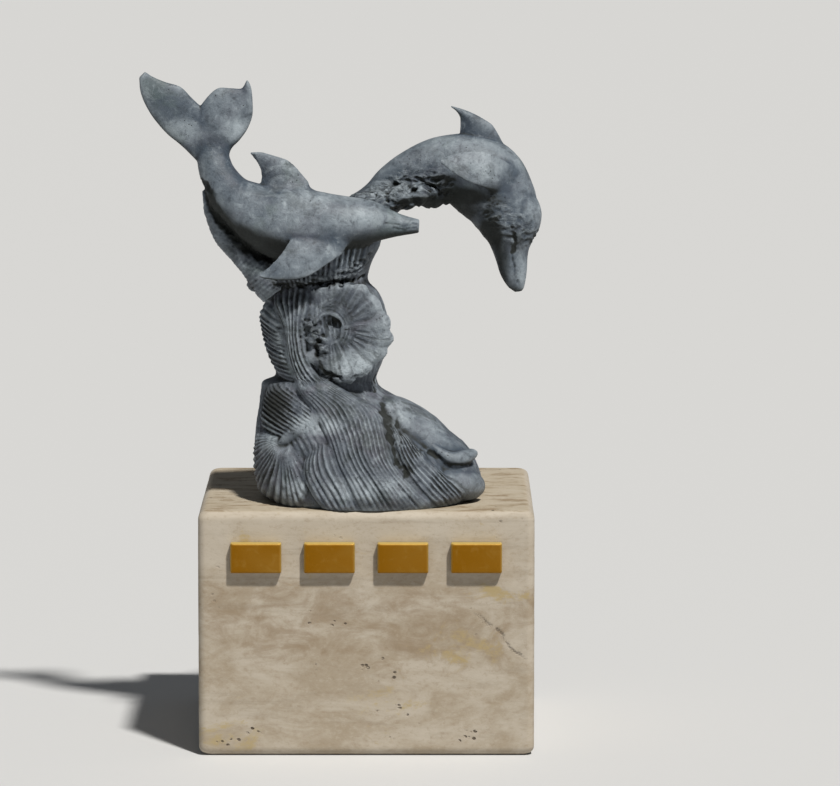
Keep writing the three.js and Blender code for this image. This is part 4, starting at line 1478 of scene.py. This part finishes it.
# Places painted dark, as painted shade with dirt together: the middle x, y, z, the reach each way
# and how dark.
SHADE_AND_DIRT_PATCHES = [
    ((-21, -9, 22.6), (6, 9, 6.4), 1.4),
    ((-19, -12, 16.6), (6, 9, 4), 0.4),
    ((-22, -16, 6), (5, 9, 8), 0.35),
    ((4, -14, 16), (3, 7, 8), 0.6),
    ((-18, -6, 50.5), (13, 9, 3.5), 0.75),
    ((-5, -9, 49.6), (8, 7, 2), 0.6),
    ((18, -2, 67), (9, 9, 5), 0.9),
    ((13, -3, 67.6), (8, 6, 2), 0.7),
    ((-30, -9, 63), (6, 7, 8), 0.35),
    ((-33, -9, 67.6), (4.6, 7, 6), 0.6),
    ((-26.6, -13, 59.4), (9, 7, 5.4), 1.1),
    ((-19, -14, 58), (9, 6, 3.4), 0.8),
    ((5, -4, 68.6), (9, 7, 2), 0.35),
    ((9, -6, 59), (8, 8, 3), 0.6),
    ((-9, -12, 28.4), (3, 5, 2), 0.5),
    ((-20, -12, 43), (4, 6, 5), 0.3),
    ((12, -12, 12), (4, 6, 3), 0.6),
    ((8, -10, 17), (9, 9, 8), 0.4),
    ((20, -6, 16.4), (4, 8, 4), 0.5),
    ((-36, -5, 87.4), (5, 6, 3), 0.3),
    ((17, -8, 72.4), (5, 8, 2.4), 1.4),
    ((23, -8, 69.4), (7, 9, 2.8), 1.5),
    ((29, -7, 67.8), (4, 8, 2.2), 0.8),
    ((27.4, -5, 61), (3, 8, 7), 1.3),
    ((29.8, -4, 53), (2.2, 6, 7), 1.1),
    ((33, -5, 57), (3, 6, 8), 0.4),
]

# Lines through the smoothly worked dolphins, and how far their finish reaches from each.
SMOOTHED = [
    (
        [
            [-47, -5, 92], [-36, -5, 84], [-34, -6, 74], [-26, -8, 66],
            [-15, -9, 63], [0, -9, 64], [13, -9, 63],
        ],
        13,
    ),
    ([[-27, -5, 92], [-31, -5, 86], [-36, -5, 80]], 8),
    ([[6, 3, 75], [16, 2, 77], [24, 0, 76], [30, 0, 70], [32, -1, 58], [33, -1, 46]], 13),
    ([[-8, -17, 60], [-16, -18, 55], [-24, -19, 52]], 6),
    ([[20, 2, 88], [26, 2, 82]], 7),
    ([[2, -8, 12], [12, -10, 10], [19, -8, 8]], 11),
]


def carve_group(settings):
    """The marble group as one closed mesh: joined, smoothed, carved finer and thinned."""
    FLUTED.clear()
    low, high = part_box(GROUP)
    share = (high.z - low.z) / FIGURE_TOP
    plinth_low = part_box(PLINTH)[0]
    flat_front = plinth_low.y + bpy.context.scene.statue_plinth.edge_radius
    origin = np.array([settings.shift, flat_front - settings.overhang + FOOT_REACH * share, low.z])
    shells = [
        core(), *swell_front(), *swell_back(), *crest(), *wing(),
        *front_dolphin(), *rear_dolphin(), *foam(),
    ]
    corners, faces = skins(shells)
    piece = piece_of("carved_dolphin_group", mesh_of("carved_dolphin_group", corners * share, faces))
    mesh = through(piece, "REMESH", mode="VOXEL", voxel_size=settings.grain)
    places = relaxed(mesh, corners_of(mesh), 1)
    soft = np.zeros(len(places))
    for line, width in ROOTS:
        soft = np.maximum(soft, nearness(places / share, line, width))
    rounds_at_roots = 110
    softened = relaxed(mesh, places, rounds_at_roots)
    places += np.clip(1.5 * soft, 0, 1)[:, None] * (softened - places)
    place_corners(mesh, places)
    normals = normals_of(mesh)
    moved = carved(places / share, normals) * share
    wear = noise(places, 0.055, 1) + 0.5 * noise(places, 0.019, 2)
    wear *= 1.5 - smoothness(places / share)
    places = places + normals * (moved + settings.weathering * wear)[:, None]
    place_corners(mesh, places)
    places = relaxed(mesh, places, 1)
    places[:, 2] = np.maximum(places[:, 2], 0)
    places += origin
    place_corners(mesh, places)
    count = sum(len(face.vertices) - 2 for face in mesh.polygons)
    mesh = through(piece, "DECIMATE", ratio=min(1, settings.triangles / count))
    mesh.name = piece.name
    keep_largest_part(mesh)
    colour_group(mesh, share, origin)
    mesh.shade_smooth()
    return piece


def tree_of(spots):
    """A tree that finds the nearest of some places."""
    tree = KDTree(len(spots))
    for index, spot in enumerate(spots):
        tree.insert(spot, index)
    tree.balance()
    return tree


def flute_numbers(mesh, places):
    """The number of the line that each place is at, and how clear the lines are there. Where two
    sheets meet, or where the number jumps, no line is clear."""
    reach = 1.6
    jump = 4
    number = np.zeros(len(places))
    clear = np.zeros(len(places))
    nearest = np.full(len(places), reach)
    owner = np.zeros(len(places), int)
    for sheet_number, (laid, even, counts, clearness) in enumerate(FLUTED, 1):
        face, level = tree_of(laid), tree_of(even)
        low, high = laid.min(axis=0) - reach, laid.max(axis=0) + reach
        for index in np.flatnonzero(((places >= low) & (places <= high)).all(axis=1)):
            gap = face.find(places[index])[2]
            if gap < nearest[index]:
                found = level.find(places[index])[1]
                nearest[index] = gap
                owner[index] = sheet_number
                number[index] = counts[found, 0]
                clear[index] = clearness[found, 0] * min(1, 2 * (reach - gap))
    start, end = edge_ends(mesh)
    apart = (owner[start] != owner[end]) | (np.abs(number[start] - number[end]) > jump)
    clear[start[apart]] = 0
    clear[end[apart]] = 0
    return number, clear


def eye_rings(places, number, clear):
    """Numbers the fine rings round the eye of the crest as lines, open at the left and below."""
    middle_x, middle_z, squash = -8.8, 40, 0.86
    radius, half_band, pitch, strength = 3.9, 1.4, 0.7, 0.45
    left, front, foot = -12, -9, 36.5
    x, y, z = places.T
    gap = np.hypot(x - middle_x, (z - middle_z) * squash)
    ringed = np.clip(half_band - np.abs(gap - radius), 0, 1) * (y < front) * (x > left) * (z >= foot)
    is_ring = ringed > 0
    return np.where(is_ring, gap / pitch, number), np.where(is_ring, strength * ringed, clear)


def smoothness(places):
    """One where the stone was worked smooth, falling to none where it was left rough."""
    smooth = np.zeros(len(places))
    for line, width in SMOOTHED:
        smooth = np.maximum(smooth, nearness(places, line, width))
    return np.clip(1.6 * smooth, 0, 1)


def colour_group(mesh, share, origin):
    """Where the marble is painted dark, as painted shade with grime in the hollows, the cuts and on
    faces turned down; where it is pale or painted with highlights; where it is smooth or rough; and
    where it has lines.
    """
    fine_rounds, fine_depth = 6, 0.0022
    broad_rounds, broad_depth = 50, 0.008
    places = corners_of(mesh)
    normals = normals_of(mesh)
    fine = ((relaxed(mesh, places, fine_rounds) - places) * normals).sum(axis=1) / fine_depth
    broad = ((relaxed(mesh, places, broad_rounds) - places) * normals).sum(axis=1) / broad_depth
    own = (places - origin) / share
    # The listed places painted dark, as painted shade with dirt.
    dark = sum(weight * patch(own, centre, radii) for centre, radii, weight in SHADE_AND_DIRT_PATCHES)
    # Faces turned down are painted darker, as painted shade with some dirt.
    underside_shade_and_dirt = np.clip(-normals[:, 2] - 0.05, 0, 1) * (0.5 + 0.6 * smoothness(own))
    # Hollows, the listed dark places and faces turned down are painted darker: painted shade with dirt
    # together.
    hollow = np.clip(0.55 * fine + 0.6 * broad, 0, 1) * (0.75 + dark) + 0.5 * dark + underside_shade_and_dirt
    # Pale patches, partly pale stone and partly painted highlights.
    pale = sum(weight * patch(own, centre, radii) for centre, radii, weight in PALE_AND_HIGHLIT_PATCHES)
    # Convex edges are painted paler, as painted highlights.
    edge = np.clip(-0.3 * fine - 0.25 * broad, 0, 0.5)
    paint(mesh, "hollow", np.clip(hollow + cut_shade_and_dirt(own, normals), 0, 1))
    paint(mesh, "bleach", np.clip(pale + edge, 0, 1))
    paint(mesh, "figure", smoothness(own))
    paint(mesh, "rough", rough_share(own))
    number, clear = eye_rings(own, *flute_numbers(mesh, own))
    paint(mesh, "flutes", number)
    paint(mesh, "fluted", clear)


def soft_block(size, corner, lower, upper, steps, flats):
    """Rings of a block on z = 0 with rounded upright corners and rounded lower and upper edges.
    The flats say how many parts its width, its depth and its height are divided in."""
    width, depth, height = size
    angle = np.linspace(0, math.pi / 2, steps + 1)
    levels = []
    if lower:
        levels += list(zip(lower * (1 - np.cos(angle)), lower * (1 - np.sin(angle))))
    else:
        levels.append((0, 0))
    start = levels[-1][0]
    end = height - upper
    levels += [(start + (end - start) * i / flats[2], 0) for i in range(1, flats[2])]
    levels += list(zip(height - upper * (1 - np.sin(angle)), upper * (1 - np.cos(angle))))
    rings = []
    for z, inset in levels:
        ring = []
        for quarter in range(4):
            right = 1 if quarter in (0, 3) else -1
            back = 1 if quarter < 2 else -1
            middle = np.array([right * (width / 2 - inset - corner), back * (depth / 2 - inset - corner)])
            turned = angle + quarter * math.pi / 2
            ring += list(middle + corner * np.stack([np.cos(turned), np.sin(turned)], axis=-1))
        ring = divided(np.array(ring), steps + 1, flats)
        rings.append(np.column_stack([ring, np.full(len(ring), z)]))
    return np.array(rings)


def divided(ring, per_corner, flats):
    """The ring with its straight sides divided."""
    parts = []
    for quarter in range(4):
        arc_points = ring[quarter * per_corner : (quarter + 1) * per_corner]
        after = ring[(quarter + 1) * per_corner % len(ring)]
        count = flats[0] if quarter % 2 == 0 else flats[1]
        share = (np.arange(1, count) / count)[:, None]
        parts += [arc_points, arc_points[-1] + share * (after - arc_points[-1])]
    return np.concatenate(parts)


# Places on the plinth's front, in metres from its middle and up: the reach and how strong.
OCHRE = [
    ((-0.37, 0.66), (0.03, 0.07), 0.9),
    ((-0.17, 0.58), (0.06, 0.05), 0.7),
    ((0.40, 0.50), (0.12, 0.05), 0.8),
    ((-0.42, 0.06), (0.14, 0.06), 0.8),
    ((0.30, 0.34), (0.16, 0.09), 0.6),
    ((0.05, 0.16), (0.22, 0.06), 0.5),
    ((0.37, 0.68), (0.06, 0.04), 0.5),
]
PORED = [
    ((0.01, 0.27), (0.12, 0.05), 1.0),
    ((0.25, 0.10), (0.05, 0.03), 1.0),
    ((0.32, 0.06), (0.05, 0.03), 1.0),
    ((-0.39, 0.06), (0.08, 0.04), 0.9),
    ((0.23, 0.54), (0.05, 0.02), 0.8),
    ((-0.1, 0.42), (0.2, 0.04), 0.4),
]
# A crack in the plinth's front, as x and z places in metres.
CRACK = [[0.33, 0.435], [0.37, 0.40], [0.41, 0.37], [0.44, 0.325], [0.48, 0.30]]


def weather_plinth(mesh):
    """Where the travertine is ochre, where it is full of pores and where it is cracked."""
    crack_width, swing, swing_length = 0.0075, 0.008, 0.035
    places = corners_of(mesh)
    flat = places[:, [0, 2]]
    for name, spots in (("ochre", OCHRE), ("pored", PORED)):
        shares = [force * patch(flat, *spot) for *spot, force in spots]
        paint(mesh, name, np.clip(sum(shares), 0, 1))
    waver = np.stack([swing * noise(places, swing_length, seed) for seed in (21, 22)], axis=-1)
    front = places[:, 1] < 0
    paint(mesh, "fissure", nearness(flat + waver, CRACK, crack_width) * front)


class STATUE_OT_marble_group(bpy.types.Operator):
    """Carve the marble group: two dolphins on a breaking wave"""

    bl_idname = "statue.marble_group"
    bl_label = "Marble group"

    def execute(self, context):
        settings = context.scene.statue_group
        piece = carve_group(settings)
        piece.data.materials.append(marble(settings))
        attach(piece, "root")
        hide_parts(GROUP)
        return {"FINISHED"}


class STATUE_OT_plinth(bpy.types.Operator):
    """Build the travertine plinth with its softly rounded edges"""

    bl_idname = "statue.plinth"
    bl_label = "Plinth"

    def execute(self, context):
        settings = context.scene.statue_plinth
        edge = settings.edge_radius
        dent_depth, top_margin = 0.0012, 0.002
        low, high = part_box(PLINTH)
        rings = soft_block(
            high - low, settings.corner_radius, edge, edge, steps=10, flats=(170, 60, 130),
        )
        corners, faces = skins([rings])
        corners = corners + [(low.x + high.x) / 2, (low.y + high.y) / 2, low.z]
        piece = piece_of("travertine_plinth", mesh_of("travertine_plinth", corners, faces))
        mesh = piece.data
        normals = normals_of(mesh)
        upright = np.clip((corners[:, 2] - low.z) / edge, 0, 1)
        upright *= np.clip((high.z - top_margin - corners[:, 2]) / edge, 0, 1)
        dents = np.minimum(0, noise(corners, 0.16, 5)) + 0.6 * np.minimum(0, noise(corners, 0.05, 6))
        place_corners(mesh, corners + normals * (dent_depth * dents * upright)[:, None])
        weather_plinth(mesh)
        mesh.shade_smooth()
        mesh.materials.append(travertine(settings))
        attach(piece, "root")
        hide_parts(PLINTH)
        return {"FINISHED"}


class STATUE_OT_brass_plates(bpy.types.Operator):
    """Make the row of bare brass plates on the plinth's front"""

    bl_idname = "statue.brass_plates"
    bl_label = "Brass plates"

    def execute(self, context):
        settings = context.scene.statue_plates
        # The second value is how much lighter each plate's face is painted towards its right, as painted
        # light.
        dent_depth, light_across_face = 0.0004, 0.07
        brass = aged_brass(settings)
        for number, node in enumerate(PLATES):
            low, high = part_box(node)
            width, thickness, height = high - low
            rings = soft_block(
                (width, height, thickness), settings.corner_radius, 0, settings.edge_radius,
                steps=8, flats=(14, 8, 3),
            )
            corners, faces = skins([rings])
            corners = np.stack([corners[:, 0], -corners[:, 2], corners[:, 1]], axis=-1)
            corners = corners + [(low.x + high.x) / 2, high.y, (low.z + high.z) / 2]
            piece = piece_of("worn_" + node, mesh_of("worn_" + node, corners, faces))
            mesh = piece.data
            normals = normals_of(mesh)
            front = np.clip(-normals[:, 1], 0, 1)
            # Edges are painted brighter the more they face up, as painted highlights with some wear.
            rubbed_and_highlit = np.clip(1.3 - 1.3 * front, 0, 1) * np.clip(normals[:, 2] + 0.6, 0.2, 1)
            # The face's share from left to right, for the painted light that grows towards the right.
            across = (corners[:, 0] - low.x) / width
            blotches = 1 + noise(corners, 0.05, 8 + number)
            paint(mesh, "worn", rubbed_and_highlit + light_across_face * front * across * blotches)
            dents = dent_depth * front * np.minimum(0, noise(corners, 0.03, 7 + number))
            place_corners(mesh, corners + normals * dents[:, None])
            mesh.shade_smooth()
            mesh.materials.append(brass)
            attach(piece, "root")
            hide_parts(node)
        return {"FINISHED"}


class STATUE_OT_stage(bpy.types.Operator):
    """Set out the floor, the soft studio light and the camera"""

    bl_idname = "statue.stage"
    bl_label = "Stage"

    def execute(self, context):
        settings = context.scene.statue_stage
        rim_points = 96
        rim = turn(rim_points)
        ring = settings.floor_radius * np.stack([np.cos(rim), np.sin(rim), 0 * rim], axis=-1)
        floor = piece_of("floor", mesh_of("floor", ring, [np.arange(len(ring))[None]]))
        finish = Finish("Pale floor")
        finish.set({"Base Color": tuple(settings.floor_colour), "Roughness": 0.9})
        floor.data.materials.append(finish.material)
        key = bpy.data.lights.new("key_light", "SUN")
        key.energy = settings.key_strength
        key.angle = settings.key_softness
        key.color = KEY_COLOUR
        lamp = bpy.data.objects.new("key_light", key)
        lamp.rotation_euler = Vector(settings.key_from).to_track_quat("Z", "Y").to_euler()
        context.scene.collection.objects.link(lamp)
        world = bpy.data.worlds.new("studio")
        world.use_nodes = True
        sky = world.node_tree.nodes["Background"]
        sky.inputs["Color"].default_value = SKY_COLOUR
        sky.inputs["Strength"].default_value = settings.fill_strength
        context.scene.world = world
        context.scene.view_settings.view_transform = "Standard"
        lens = bpy.data.cameras.new("camera")
        lens.sensor_width = SENSOR_WIDTH
        lens.lens = settings.focal_pixels * lens.sensor_width / PHOTO_WIDTH
        lens.clip_end = 4 * settings.floor_radius
        camera = bpy.data.objects.new("camera", lens)
        camera.location = settings.camera_place
        camera.rotation_euler = (math.pi / 2 - settings.camera_pitch, 0, 0)
        context.scene.collection.objects.link(camera)
        context.scene.camera = camera
        return {"FINISHED"}


class STATUE_PT_panel(bpy.types.Panel):
    """The statue's pieces in the 3D view's sidebar"""

    bl_label = "Marble dolphin statue"
    bl_idname = "STATUE_PT_panel"
    bl_space_type = "VIEW_3D"
    bl_region_type = "UI"
    bl_category = "Statue"

    def draw(self, context):
        for owner, operator in STEPS:
            box = self.layout.box()
            settings = getattr(context.scene, owner)
            for name in settings.__annotations__:
                box.prop(settings, name)
            box.operator(operator.bl_idname)


SETTINGS = {
    "statue_group": GroupSettings,
    "statue_plinth": PlinthSettings,
    "statue_plates": PlateSettings,
    "statue_stage": StageSettings,
}
STEPS = [
    ("statue_group", STATUE_OT_marble_group),
    ("statue_plinth", STATUE_OT_plinth),
    ("statue_plates", STATUE_OT_brass_plates),
    ("statue_stage", STATUE_OT_stage),
]


def register():
    for owner, group in SETTINGS.items():
        bpy.utils.register_class(group)
        setattr(bpy.types.Scene, owner, PointerProperty(type=group))
    for _, operator in STEPS:
        bpy.utils.register_class(operator)
    bpy.utils.register_class(STATUE_PT_panel)


def unregister():
    bpy.utils.unregister_class(STATUE_PT_panel)
    for _, operator in reversed(STEPS):
        bpy.utils.unregister_class(operator)
    for owner, group in SETTINGS.items():
        delattr(bpy.types.Scene, owner)
        bpy.utils.unregister_class(group)


def main():
    register()
    bpy.ops.statue.marble_group()
    bpy.ops.statue.plinth()
    bpy.ops.statue.brass_plates()
    bpy.ops.statue.stage()


if __name__ == "__main__":
    main()
